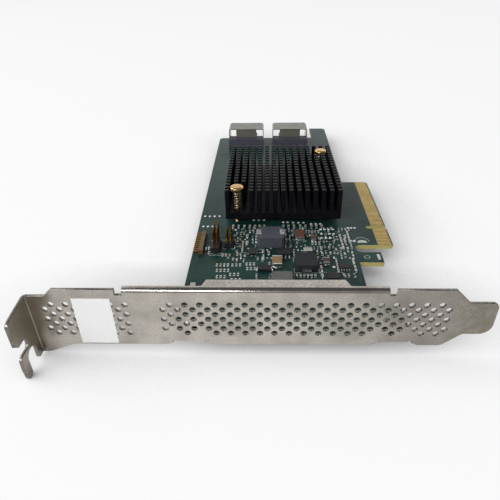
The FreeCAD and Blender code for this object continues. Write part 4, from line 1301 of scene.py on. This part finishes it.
@dataclass
class Chips:
    """Moulded chips with bent leads, chip parts with tinned ends, and the inductors."""

    lead_sheet: float = 0.16
    lead_root: float = 0.1
    lead_knees: Pair = (0.3, 0.55)
    lead_half: float = 0.22
    leads_a_side: int = 4
    part: Pair = (0.8, 1.6)
    end: float = 0.32
    end_skin: float = 0.03
    end_lap: float = 0.8
    end_bevels: Pair = (0.04, 0.07)
    fillet: float = 0.28
    fillet_slope: Pair = (0.08, 0.5)
    diode_bevel: float = 0.12
    tab_inset: float = 0.18
    tab_root: float = 0.1
    tab_foot: float = 0.55
    tab_sheet: float = 0.14
    tab_bevel: float = 0.04
    capacitor_height: float = 0.8
    resistor_height: float = 0.45
    capacitors: tuple[Pair, ...] = tuple((u, 57.2) for u in (
        12.9, 14.9, 17.0, 19.0, 20.9, 22.6, 24.3, 31.3, 33.2, 35.2, 37.5, 39.4, 41.6, 43.4, 45.4,
    ))
    resistors: tuple[Pair, ...] = (
        (15.9, 49.3), (15.9, 44.7), (17.9, 39.0), (21.7, 40.3), (33.3, 44.5), (35.4, 44.5),
        (47.1, 45.9), (49.2, 49.2), (49.0, 40.3), (51.2, 37.9), (46.1, 52.6), (52.6, 27.0),
    )

    def leads(self, name: str, chip: str, node: str) -> None:
        """Bent leads along the front and rear of a chip.

        Args:
            name: Name of the piece.
            chip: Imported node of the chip's body.
            node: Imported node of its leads.
        """
        low, high = node_box(chip)
        reach = node_box(node)[0].y
        pitch = (high.x - low.x) / self.leads_a_side
        level = (low.z + high.z) / 2
        out = low.y - reach
        sheet = self.lead_sheet
        shape = Shaper()
        knee, foot = self.lead_knees
        over = [(-self.lead_root, level), (knee * out, level), (foot * out, sheet), (out, sheet)]
        under = [(y, z - sheet) for y, z in over]
        for front, side in ((low.y, -1), (high.y, 1)):
            for index in range(self.leads_a_side):
                x = low.x + (index + 0.5) * pitch
                points = [(x + half * pitch, front + side * y, z)
                          for half in (-self.lead_half, self.lead_half) for y, z in over + under]
                faces = []
                for i in range(3):
                    faces += [(i, i + 1, 9 + i, 8 + i), (12 + i, 13 + i, 5 + i, 4 + i),
                              (4 + i, 5 + i, i + 1, i), (8 + i, 9 + i, 13 + i, 12 + i)]
                faces += [(3, 7, 15, 11), (0, 8, 12, 4)]
                shape.add(points, faces if side < 0 else [face[::-1] for face in faces])
        shape.make(name, "terminal_tin", (TIN,), node)

    def end_capped(self, shape: Shaper, low: Sequence[float], high: Sequence[float],
                   end: float) -> None:
        """Add a chip part whose ends along the card are tinned and soldered down.

        Args:
            shape: Shaper whose first finish is the body's and whose second is tin.
            low: Lowest corner.
            high: Highest corner.
            end: Length of each tinned end.
        """
        (left, front, bottom), (right, rear, top) = low, high
        skin, lap = self.end_skin, end * self.end_lap
        body_bevel, end_bevel = self.end_bevels
        shape.box((left + skin, front + lap, bottom), (right - skin, rear - lap, top - skin), body_bevel)
        for near, far in ((front, front + end), (rear - end, rear)):
            shape.box((left, near, bottom), (right, far, top), end_bevel, 1)
        inset, share = self.fillet_slope
        rise = bottom + share * (top - bottom)
        for side, y in ((-1, front), (1, rear)):
            foot = y + side * self.fillet
            points = [(left, y, bottom), (right, y, bottom), (right, foot, bottom), (left, foot, bottom),
                      (left + inset, y, rise), (right - inset, y, rise)]
            faces = [(3, 2, 1, 0), (3, 4, 5, 2), (0, 4, 3), (1, 2, 5), (0, 1, 5, 4)]
            shape.add(points, faces if side > 0 else [face[::-1] for face in faces], 1, True)

    def diode(self, node: str) -> None:
        """A moulded diode with a tinned tab bent under each end.

        Args:
            node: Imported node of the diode's body.
        """
        low, high = node_box(node)
        shape = Shaper()
        shape.box(low, high, self.diode_bevel)
        inset = self.tab_inset * (high.y - low.y)
        front, rear = low.y + inset, high.y - inset
        for end, side in ((low.x, -1), (high.x, 1)):
            for reach, bottom, top in ((self.tab_foot, 0.0, 0.2), (self.tab_sheet, 0.1, 0.6 * high.z)):
                near, far = sorted((end - side * self.tab_root, end + side * reach))
                shape.box((near, front, bottom), (far, rear, top), self.tab_bevel, 1)
        shape.make(f"{node}_with_tabs", "chip_black", (EPOXY, TIN), node)

    def small_part(self, shape: Shaper, place: Pair, height: float) -> None:
        """Add one small chip part.

        Args:
            shape: Shaper whose first finish is the body's and whose second is tin.
            place: Place from the card's upper edge and the bracket's face.
            height: Height of the part.
        """
        x, y = UPPER_EDGE + place[0], place[1]
        width, length = self.part[0] / 2, self.part[1] / 2
        self.end_capped(shape, (x - width, y - length, 0.0), (x + width, y + length, height), self.end)

    def build(self) -> None:
        """Build the leads and chip parts and dress the bodies."""
        for chip in ("regulator", "memory", "logic"):
            self.leads(f"{chip}_bent_leads", f"{chip}_chip", f"{chip}_leads")
        shape = Shaper()
        for place in self.capacitors:
            self.small_part(shape, place, self.capacitor_height)
        shape.make("small_capacitors", "capacitor_tan", (PALE, TIN), "chip_capacitors")
        shape = Shaper()
        for place in self.resistors:
            self.small_part(shape, place, self.resistor_height)
        shape.make("small_resistors", "resistor_black", (GLAZE, TIN), "chip_resistors")
        large = (
            ("bulk_capacitor", "capacitor_tan", TAN, 0.5),
            ("tantalum_capacitor", "tantalum_brown", TANTALUM, 0.2),
            ("ferrite_bead", "tantalum_brown", TANTALUM, 0.6),
            ("shunt_resistor", "shunt_brown", SHUNT, 0.3),
        )
        for node, slot, finish, end in large:
            shape = Shaper()
            low, high = node_box(node)
            self.end_capped(shape, low, high, end)
            shape.make(f"{node}_with_ends", slot, (finish, TIN), node)
        self.diode("small_diode")
        bodies = (
            (EPOXY, 0.1, "regulator_chip", "memory_chip", "logic_chip", "controller_chip", "light_driver"),
            (FERRITE, 0.15, "power_inductor_core"), (IRON, 0.15, "filter_inductor_core"),
            (TIN, 0.05, "power_inductor_clips", "filter_inductor_terminals"),
            (CERAMIC, 0.08, "oscillator_base"), (LID, 0.12, "oscillator_lid"), (LENS, 0.15, "status_light"),
        )
        for finish, bevel, *nodes in bodies:
            dress(finish, bevel, *nodes)


@dataclass
class Footprints:
    """Areas of the card that parts already stand on."""

    margin: float = 0.07

    def __post_init__(self) -> None:
        """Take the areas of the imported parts."""
        skipped = ("bracket", "circuit_board", "contacts", "thermal_pad", "chip_capacitors",
                   "chip_resistors", "heat_sink_pins", "heat_sink_springs")
        self.areas: list[tuple[float, float, float, float]] = []
        for name in sorted(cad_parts):
            if not name.startswith(skipped):
                low, high = node_box(name)
                self.areas.append((low.x, low.y, high.x, high.y))

    def take(self, x: float, y: float, width: float, length: float) -> bool:
        """Claim an area if it is free.

        Args:
            x: Middle of the area along X.
            y: Middle of the area along Y.
            width: Size along X.
            length: Size along Y.

        Returns:
            Whether the area was free.
        """
        left, right = x - width / 2 - self.margin, x + width / 2 + self.margin
        front, rear = y - length / 2 - self.margin, y + length / 2 + self.margin
        for low_x, low_y, high_x, high_y in self.areas:
            if left < high_x and low_x < right and front < high_y and low_y < rear:
                return False
        self.areas.append((left, front, right, rear))
        return True


class Body(Enum):
    """Kinds of body that the smallest chip parts have."""

    DARK = "dark"
    PALE = "pale"
    BROWN = "brown"


@dataclass(frozen=True)
class PartRow:
    """A row of like chip parts, with places from the card's upper edge and the bracket's face."""

    start: Pair
    step: Pair
    count: int
    body: Body = Body.DARK
    size: Triple = (0.65, 1.3, 0.4)


@dataclass
class Card:
    """Lacquered card with its tracks, plated holes, legend, gilded contacts and smallest parts.

    Places count from the card's upper edge and the bracket's face, and profiles are radius and height.
    """

    footprints: Footprints
    chips: Chips
    film: float = 0.02
    track: float = 0.16
    wide: Triple = (0.95, 1.9, 0.6)
    tall: Triple = (0.7, 1.3, 0.55)
    part_room: Pair = (0.8, 2.0)
    part_gap: float = 0.4
    end_share: float = 0.34
    block: Pair = (20.4, 40.2)
    block_size: Triple = (2.6, 3.7, 1.0)
    block_bevel: float = 0.1
    dot_room: float = 0.5
    dot: tuple[Pair, ...] = ((0.52, 0.0), (0.5, 0.08), (0.36, 0.22), (0.1, 0.28))
    dot_sides: int = 16
    pad_room: Pair = (0.7, 1.7)
    pad_apart: float = 0.52
    pad_half: Pair = (0.33, 0.3)
    pad_height: float = 0.06
    hole: tuple[Pair, ...] = ((0.3, 0.0), (0.29, 0.035), (0.17, 0.035), (0.13, 0.012))
    hole_sides: int = 12
    hole_room: float = 0.35
    hole_grid: float = 0.65
    hole_tries: int = 1400
    hole_spans: tuple[Pair, Pair] = ((1.0, 54.4), (23.0, 57.5))
    bare_from: tuple[int, float] = (18, 36.0)
    line: float = 0.15

    def part_rows(self) -> list[PartRow]:
        """Rows of the smallest parts, from the card's upper edge to the contacts."""
        wide, tall = self.wide, self.tall
        return [
            PartRow((4.4, 42.4), (1.2, -2.6), 2),
            PartRow((5.4, 42.6), (0.0, -2.6), 2, Body.PALE, tall),
            PartRow((14.6, 52.6), (1.25, 0.0), 3, Body.PALE, tall),
            PartRow((14.2, 47.4), (0.0, -1.8), 4),
            PartRow((16.9, 46.6), (0.0, -1.9), 4, Body.PALE, tall),
            PartRow((18.3, 50.7), (0.0, -2.35), 4, Body.PALE, wide),
            PartRow((20.3, 50.4), (0.0, -1.7), 4),
            PartRow((15.3, 39.2), (0.0, -1.8), 3, Body.PALE, tall),
            PartRow((16.6, 37.3), (1.0, -1.7), 2),
            PartRow((19.2, 54.2), (1.25, 0.0), 4, Body.PALE, tall),
            PartRow((23.9, 41.0), (0.0, -2.4), 3, Body.PALE, wide),
            PartRow((25.9, 39.9), (0.0, -2.3), 2, Body.PALE, wide),
            PartRow((22.2, 36.6), (0.0, -1.8), 2),
            PartRow((31.9, 54.4), (1.3, 0.0), 3, Body.PALE, tall),
            PartRow((32.1, 52.2), (0.0, -1.8), 3),
            PartRow((33.4, 50.6), (0.0, -1.8), 2, Body.PALE, tall),
            PartRow((39.4, 53.9), (1.1, 0.0), 5, Body.PALE, tall),
            PartRow((39.4, 52.0), (1.1, 0.0), 4),
            PartRow((41.0, 46.0), (1.2, 0.0), 3, Body.PALE, tall),
            PartRow((39.0, 43.2), (1.2, 0.0), 4),
            PartRow((43.8, 48.2), (0.0, -1.8), 6, Body.PALE, tall),
            PartRow((45.1, 47.6), (0.0, -1.8), 6),
            PartRow((46.5, 43.2), (0.0, -1.8), 3, Body.PALE, tall),
            PartRow((47.9, 43.9), (0.0, -1.8), 4),
            PartRow((48.5, 46.9), (0.0, -1.75), 2, Body.PALE, tall),
            PartRow((51.1, 51.0), (0.05, -2.1), 5, Body.PALE, tall),
            PartRow((52.7, 49.9), (-0.3, -2.5), 2, Body.BROWN, wide),
            PartRow((54.0, 53.2), (0.0, -2.0), 4, Body.PALE, tall),
            PartRow((51.2, 55.4), (1.25, 0.0), 4),
            PartRow((54.2, 45.2), (0.0, -2.0), 2),
            PartRow((50.4, 42.4), (1.15, 0.0), 3, Body.PALE, tall),
            PartRow((42.6, 31.4), (0.0, -2.4), 3, Body.PALE, tall),
            PartRow((47.9, 35.6), (0.0, -2.0), 4),
            PartRow((53.4, 35.6), (0.0, -2.0), 4, Body.PALE, tall),
            PartRow((49.6, 27.2), (1.15, 0.0), 2),
            PartRow((34.3, 41.0), (0.0, -2.0), 4),
            PartRow((33.2, 39.8), (0.0, -2.0), 3, Body.PALE, tall),
            PartRow((22.0, 27.2), (0.0, -2.2), 3),
            PartRow((34.6, 27.0), (1.15, 0.0), 6, Body.PALE, tall),
            PartRow((39.0, 40.6), (0.0, 0.0), 1, Body.PALE, (3.0, 2.2, 1.3)),
            PartRow((27.0, 43.0), (0.0, 0.0), 1, Body.PALE, (1.6, 1.4, 0.8)),
        ]

    def dot_rows(self) -> list[tuple[float, float, float, int]]:
        """Rows of bare solder points: start, step along the row and count."""
        return [
            (1.6, 65.6, 1.85, 4), (1.8, 57.8, 1.75, 4), (44.8, 52.5, 1.45, 4), (44.6, 49.7, 1.5, 4),
            (44.8, 55.6, 1.45, 4), (54.9, 56.6, 1.2, 3), (54.6, 47.6, 1.2, 2), (42.7, 34.2, 1.2, 1),
            (46.8, 31.9, 1.0, 1), (13.9, 55.4, 1.3, 1), (20.3, 62.6, 1.95, 3), (31.4, 61.0, 1.6, 2),
            (35.1, 60.6, 1.95, 3), (41.7, 59.7, 1.7, 3),
        ]

    def pad_rows(self) -> list[tuple[float, float, float, int]]:
        """Rows of paired bare pads where no part is fitted: start, step along the row and count."""
        return [
            (8.9, 33.0, 1.2, 4), (9.2, 30.0, 1.2, 4), (9.5, 26.6, 1.2, 3), (14.0, 33.0, 1.25, 3),
            (13.6, 27.8, 1.25, 3), (14.2, 25.0, 1.25, 3), (10.3, 38.8, 1.2, 3), (14.0, 36.4, 1.2, 3),
            (18.6, 33.6, 1.2, 3), (18.9, 31.0, 1.2, 3), (15.4, 40.8, 1.2, 2), (26.0, 33.8, 1.2, 2),
            (32.3, 47.4, 1.2, 2), (43.2, 38.0, 1.2, 3), (47.6, 53.6, 1.3, 3),
        ]

    def spots(self, rows: Iterable[tuple[float, float, float, int]]) -> list[Pair]:
        """X and Y of each place in rows.

        Args:
            rows: Start, step along the row and count of each row.

        Returns:
            The places, row by row.
        """
        return [(UPPER_EDGE + u + step * index, v) for u, v, step, count in rows for index in range(count)]

    def build(self) -> None:
        """Build what lies on the card and dress it."""
        dress(MASK, 0.0, "circuit_board")
        dress(GOLD, 0.0, "contacts_component_side", "contacts_solder_side")
        dress(PAD, 0.0, "thermal_pad")
        self.build_parts()
        self.build_dots()
        self.build_holes()
        self.build_tracks()
        self.build_legend()

    def build_parts(self) -> None:
        """Set the smallest chip parts between the larger ones."""
        for u, v in self.chips.capacitors + self.chips.resistors:
            self.footprints.take(UPPER_EDGE + u, v, *self.part_room)
        shapes = {body: Shaper() for body in Body}
        for row in self.part_rows():
            width, length, height = row.size
            for index in range(row.count):
                x = UPPER_EDGE + row.start[0] + row.step[0] * index
                y = row.start[1] + row.step[1] * index
                if self.footprints.take(x, y, width, length + self.part_gap):
                    low = (x - width / 2, y - length / 2, 0.0)
                    high = (x + width / 2, y + length / 2, height)
                    self.chips.end_capped(shapes[row.body], low, high, self.end_share * length)
        x, y = UPPER_EDGE + self.block[0], self.block[1]
        width, length, height = self.block_size
        self.footprints.take(x, y, width, length)
        shapes[Body.DARK].box((x - width / 2, y - length / 2, self.film),
                              (x + width / 2, y + length / 2, height), self.block_bevel)
        shapes[Body.DARK].make("further_resistors", "resistor_black", (GLAZE, TIN))
        shapes[Body.PALE].make("further_capacitors", "capacitor_tan", (PALE, TIN))
        shapes[Body.BROWN].make("sense_resistors", "shunt_brown", (SHUNT, TIN))

    def build_dots(self) -> None:
        """Raise the rows of bare solder points and lay the rows of paired pads."""
        shape = Shaper()
        for spot in self.spots(self.dot_rows()):
            self.footprints.take(*spot, self.dot_room, self.dot_room)
            shape.lathe(spot, self.dot, self.dot_sides)
        width, length = self.pad_half
        for x, v in self.spots(self.pad_rows()):
            if self.footprints.take(x, v, *self.pad_room):
                for y in (v - self.pad_apart, v + self.pad_apart):
                    shape.box((x - width, y - length, 0.0), (x + width, y + length, self.pad_height),
                              self.pad_height / 2, 1)
        # The solder points take the painted highlight of the near-white solder; the pads stay tin.
        shape.make("solder_points", "terminal_tin", (SOLDER_PAINTED_BRIGHT, TIN))

    def build_holes(self) -> None:
        """Ring the plated holes, most of them under the lacquer, each with a short track to it."""
        covered, bare = Shaper(), Shaper()
        across, along = self.hole_spans
        grid, (bare_column, bare_y) = self.hole_grid, self.bare_from
        for _ in range(self.hole_tries):
            column = round(random.uniform(*across) / grid)
            x = UPPER_EDGE + column * grid
            y = round(random.uniform(*along) / grid) * grid
            lean = random.choice((-1.0, 0.0, 1.0))
            if self.footprints.take(x, y, self.hole_room, self.hole_room):
                ring = bare if column % 2 and column > bare_column and y > bare_y else covered
                ring.lathe((x, y), self.hole, self.hole_sides)
                path = [(x, y + 0.25), (x, y + 0.7), (x + 0.5 * lean, y + 1.2)]
                covered.ribbon(path, self.track, 0.0, self.film)
        covered.make("covered_holes", "board_green", (TRACK,))
        # The bare holes take the painted highlight of the near-white solder.
        bare.make("bare_holes", "terminal_tin", (SOLDER_PAINTED_BRIGHT,))

    def build_tracks(self) -> None:
        """Run bundles of covered tracks over the card."""
        shape = Shaper()
        bundles = (
            ([(3.0, 69.0), (3.0, 128.0), (8.0, 133.0), (8.0, 137.5)], 8, 0.42),
            ([(7.6, 69.0), (7.6, 100.0), (9.2, 101.6), (9.2, 130.0)], 3, 0.42),
            ([(2.2, 24.0), (2.2, 34.0), (4.0, 35.8), (4.0, 37.4)], 4, 0.4),
            ([(4.6, 53.0), (4.6, 63.0)], 3, 0.42),
            ([(27.0, 139.0), (27.0, 105.5)], 9, 0.42),
            ([(40.0, 139.0), (40.0, 130.0), (36.0, 126.0), (36.0, 105.5)], 9, 0.42),
        )
        for path, count, pitch in bundles:
            on_card = [(UPPER_EDGE + u, v) for u, v in path]
            for index in range(count):
                line = shifted(on_card, (index - (count - 1) / 2) * pitch)
                shape.ribbon(line, self.track, 0.0, self.film)
        # Pairs of tracks that lean from the contacts towards the middle of the controller.
        contact, bend, controller, middle = (UPPER_EDGE + 62.4, UPPER_EDGE + 60.6, UPPER_EDGE + 52.6, 80.0)
        for pair in range(18):
            for step in (0.0, 0.5):
                y = 61.0 + 2.0 * pair + step
                lean = (y - middle) * 0.3
                line = [(contact, y), (bend, y), (bend - abs(lean), y - lean), (controller, y - lean)]
                shape.ribbon(line, self.track, 0.0, self.film)
        shape.make("covered_tracks", "board_green", (TRACK,))

    def arc(self, centre: Pair, radii: Pair, turns: Iterable[float]) -> list[Pair]:
        """Points on an upright ellipse.

        Args:
            centre: X and Y of its middle.
            radii: Its radii along X and Y.
            turns: Angle of each point.

        Returns:
            The points.
        """
        return [(centre[0] + radii[0] * math.cos(turn), centre[1] + radii[1] * math.sin(turn))
                for turn in turns]

    def build_legend(self) -> None:
        """Print plain outlines round the parts, without any letters."""
        shape = Shaper()
        top = self.film * 0.8
        framed = {
            "tall_header_base": 0.55, "short_header_base": 0.5, "power_inductor_core": 0.7,
            "filter_inductor_core": 0.6, "oscillator_base": 0.45, "memory_chip": 1.5,
            "tantalum_capacitor": 0.5,
        }
        for name, gap in framed.items():
            low, high = node_box(name)
            x0, y0, x1, y1 = low.x - gap, low.y - gap, high.x + gap, high.y + gap
            reach = 0.3 * (x1 - x0)
            for x, right in ((x0, 1), (x1, -1)):
                for y, back in ((y0, 1), (y1, -1)):
                    corner = [(x + right * reach, y), (x, y), (x, y + back * reach)]
                    shape.ribbon(corner, self.line, 0.0, top)
        low, high = node_box("tall_header_base")
        shape.ribbon([(low.x - 0.6, low.y - 1.4), (high.x + 0.6, low.y - 1.4)], 0.3, 0.0, top)
        middle = UPPER_EDGE + 58.4
        half_turn = [math.pi * step / 16 for step in range(17)]
        full_turn = [math.tau * step / 24 for step in range(25)]
        shape.prism(self.arc((middle, 46.6), (1.7, 1.7), half_turn), 0.0, top)
        shape.ribbon(self.arc((middle, 47.4), (2.5, 2.6), half_turn), self.line, 0.0, top)
        shape.ribbon(self.arc((middle, 37.7), (0.9, 0.9), full_turn), self.line, 0.0, top)
        shape.ribbon([(UPPER_EDGE + 62.3, 36.2), (UPPER_EDGE + 62.3, 39.4)], 0.9, 0.0, top)
        shape.make("printed_legend", "label_white", (INK,))


@dataclass
class Stage:
    """Pale floor, soft lights and the camera."""

    eye: Triple = (61.82, -89.84, 86.08)
    ahead: Triple = (-0.024, 0.8415, -0.5397)
    right: Triple = (0.9997, 0.0201, -0.0132)
    lens: float = 33.247
    shift: Pair = (-0.0101, -0.0077)
    sensor: float = 36.0
    nearest: float = 0.005
    floor_side: float = 6.0
    floor_white: float = 0.9
    floor_glow: float = 0.85
    shadow_reach: float = 0.045
    shadow_from: Triple = (-0.35, -0.75, 0.56)
    shadow_depth: float = 1.8
    shadow_samples: int = 8
    aim: Triple = (-0.04, 0.02, 0.0)

    def build(self) -> None:
        """Make the floor, the lights, the world and the camera."""
        self.build_floor()
        self.build_lights()
        self.build_world()
        self.build_camera()
        bpy.context.scene.view_settings.view_transform = "Standard"

    def build_floor(self) -> None:
        """Lay a wide white floor under the lowest point."""
        half = self.floor_side / 2
        level = CAD_BOX[0].z
        corners = [(-half, -half, level), (half, -half, level), (half, half, level), (-half, half, level)]
        mesh = bpy.data.meshes.new("floor")
        mesh.from_pydata(corners, [], [(0, 1, 2, 3)])
        floor = bpy.data.objects.new("floor", mesh)
        bpy.context.scene.collection.objects.link(floor)
        graph = Graph(bpy.data.materials.new("white_floor"))
        rays = graph.node("ShaderNodeLightPath")
        mirrored = rays.math("MAXIMUM", rays.part("Is Glossy Ray"), rays.part("Is Transmission Ray"))
        # Painted light on the floor that only the metal's reflections see: it darkens away from the bracket
        # and towards the tongue, which paints the bright-to-dark reflection along the bracket's face.
        spot = graph.axes(graph.place())
        near = spot.part("Y").between(-150.0, -95.0)
        across = 0.78 + 0.12 * spot.between(-105.0, -70.0) - 0.37 * spot.between(-45.0, 15.0)
        painted_floor_shading = 1 - mirrored * (1 - across * (0.35 + 0.65 * near))
        direct = rays.part("Is Camera Ray")
        seen = rays.math("MAXIMUM", direct * self.floor_glow, mirrored)
        matt = graph.node("ShaderNodeBsdfDiffuse", None, {"Color": (*[self.floor_white] * 3, 1.0)})
        # The soft shadow falls away from the key lamp.
        lit_from = graph.node("ShaderNodeCombineXYZ", None, dict(enumerate(self.shadow_from)))
        open_sky = graph.node("ShaderNodeAmbientOcclusion", {"samples": self.shadow_samples},
                              {"Distance": self.shadow_reach, "Normal": lit_from}, "AO")
        painted_floor_shading = painted_floor_shading * (1 - direct * (1 - open_sky ** self.shadow_depth))
        shade = graph.node("ShaderNodeCombineColor", None, {0: painted_floor_shading, 1: painted_floor_shading, 2: painted_floor_shading})
        glow = graph.node("ShaderNodeEmission", None, {"Color": shade, "Strength": 1.0})
        surface = graph.node("ShaderNodeMixShader", None, {0: seen, 1: matt, 2: glow})
        mesh.materials.append(graph.close(surface))

    def build_lights(self) -> None:
        """Hang the soft lights."""
        lamps = (
            ("key", (-0.48, -0.62, 0.47), (0.9, 0.14), 5.0),
            ("fill", (-1.15, 0.15, 0.75), (0.6, 0.6), 6.0),
        )
        for name, place, size, power in lamps:
            data = bpy.data.lights.new(name, "AREA")
            data.shape = "ELLIPSE"
            data.size, data.size_y = size
            data.energy = power
            lamp = bpy.data.objects.new(name, data)
            lamp.location = place
            way = Vector(self.aim) - Vector(place)
            lamp.rotation_euler = way.to_track_quat("-Z", "Y").to_euler()
            bpy.context.scene.collection.objects.link(lamp)

    def build_world(self) -> None:
        """Surround the scene with a white room whose ceiling and front wall are darker."""
        white, front = (1.0, 1.0, 1.0, 1.0), (0.2, 0.2, 0.21, 1.0)
        low_front, ceiling = (0.42, 0.42, 0.43, 1.0), (0.12, 0.12, 0.13, 1.0)
        graph = Graph(bpy.data.worlds.new("studio"))
        towards = graph.axes(graph.node("ShaderNodeTexCoord", output="Generated"))
        back, up = towards.part("Y"), towards.part("Z")
        walls = graph.mix(back.between(-0.2, 0.5), front, white)
        low = (1 - back.between(-0.75, -0.45)) * (1 - up.between(0.4, 0.5))
        walls = graph.mix(low, walls, low_front)
        walls = graph.mix(up.between(0.615, 0.66), walls, ceiling)
        seen = graph.node("ShaderNodeLightPath", output="Is Camera Ray")
        colour = graph.mix(seen, walls, white)
        bpy.context.scene.world = graph.close(graph.node("ShaderNodeBackground", None, {"Color": colour}))

    def build_camera(self) -> None:
        """Put the camera where the card was seen from."""
        data = bpy.data.cameras.new("camera")
        data.lens = self.lens
        data.sensor_width = self.sensor
        data.shift_x, data.shift_y = self.shift
        data.clip_start = self.nearest
        camera = bpy.data.objects.new("camera", data)
        ahead = Vector(self.ahead).normalized()
        right = Vector(self.right)
        right = (right - right.dot(ahead) * ahead).normalized()
        over = right.cross(ahead)
        turn = Matrix((right, over, -ahead)).transposed()
        camera.matrix_world = Matrix.Translation(to_frame(self.eye)) @ turn.to_4x4()
        bpy.context.scene.collection.objects.link(camera)
        bpy.context.scene.camera = camera


def main() -> None:
    """Build each sub-assembly in turn."""
    logging.basicConfig(level=logging.INFO, format="%(message)s")
    random.seed(SEED)
    Stage().build()
    Bracket().build()
    dress(PAPER, 0.0, "bracket_label")
    Screws().build()
    HeatSink().build()
    Headers().build()
    chips = Chips()
    chips.build()
    Card(Footprints(), chips).build()
    dress(SHELL, 0.06, "socket_1_shell", "socket_2_shell")
    dress(HOUSING, 0.15, "socket_1_housing", "socket_2_housing")


if __name__ == "__main__":
    main()
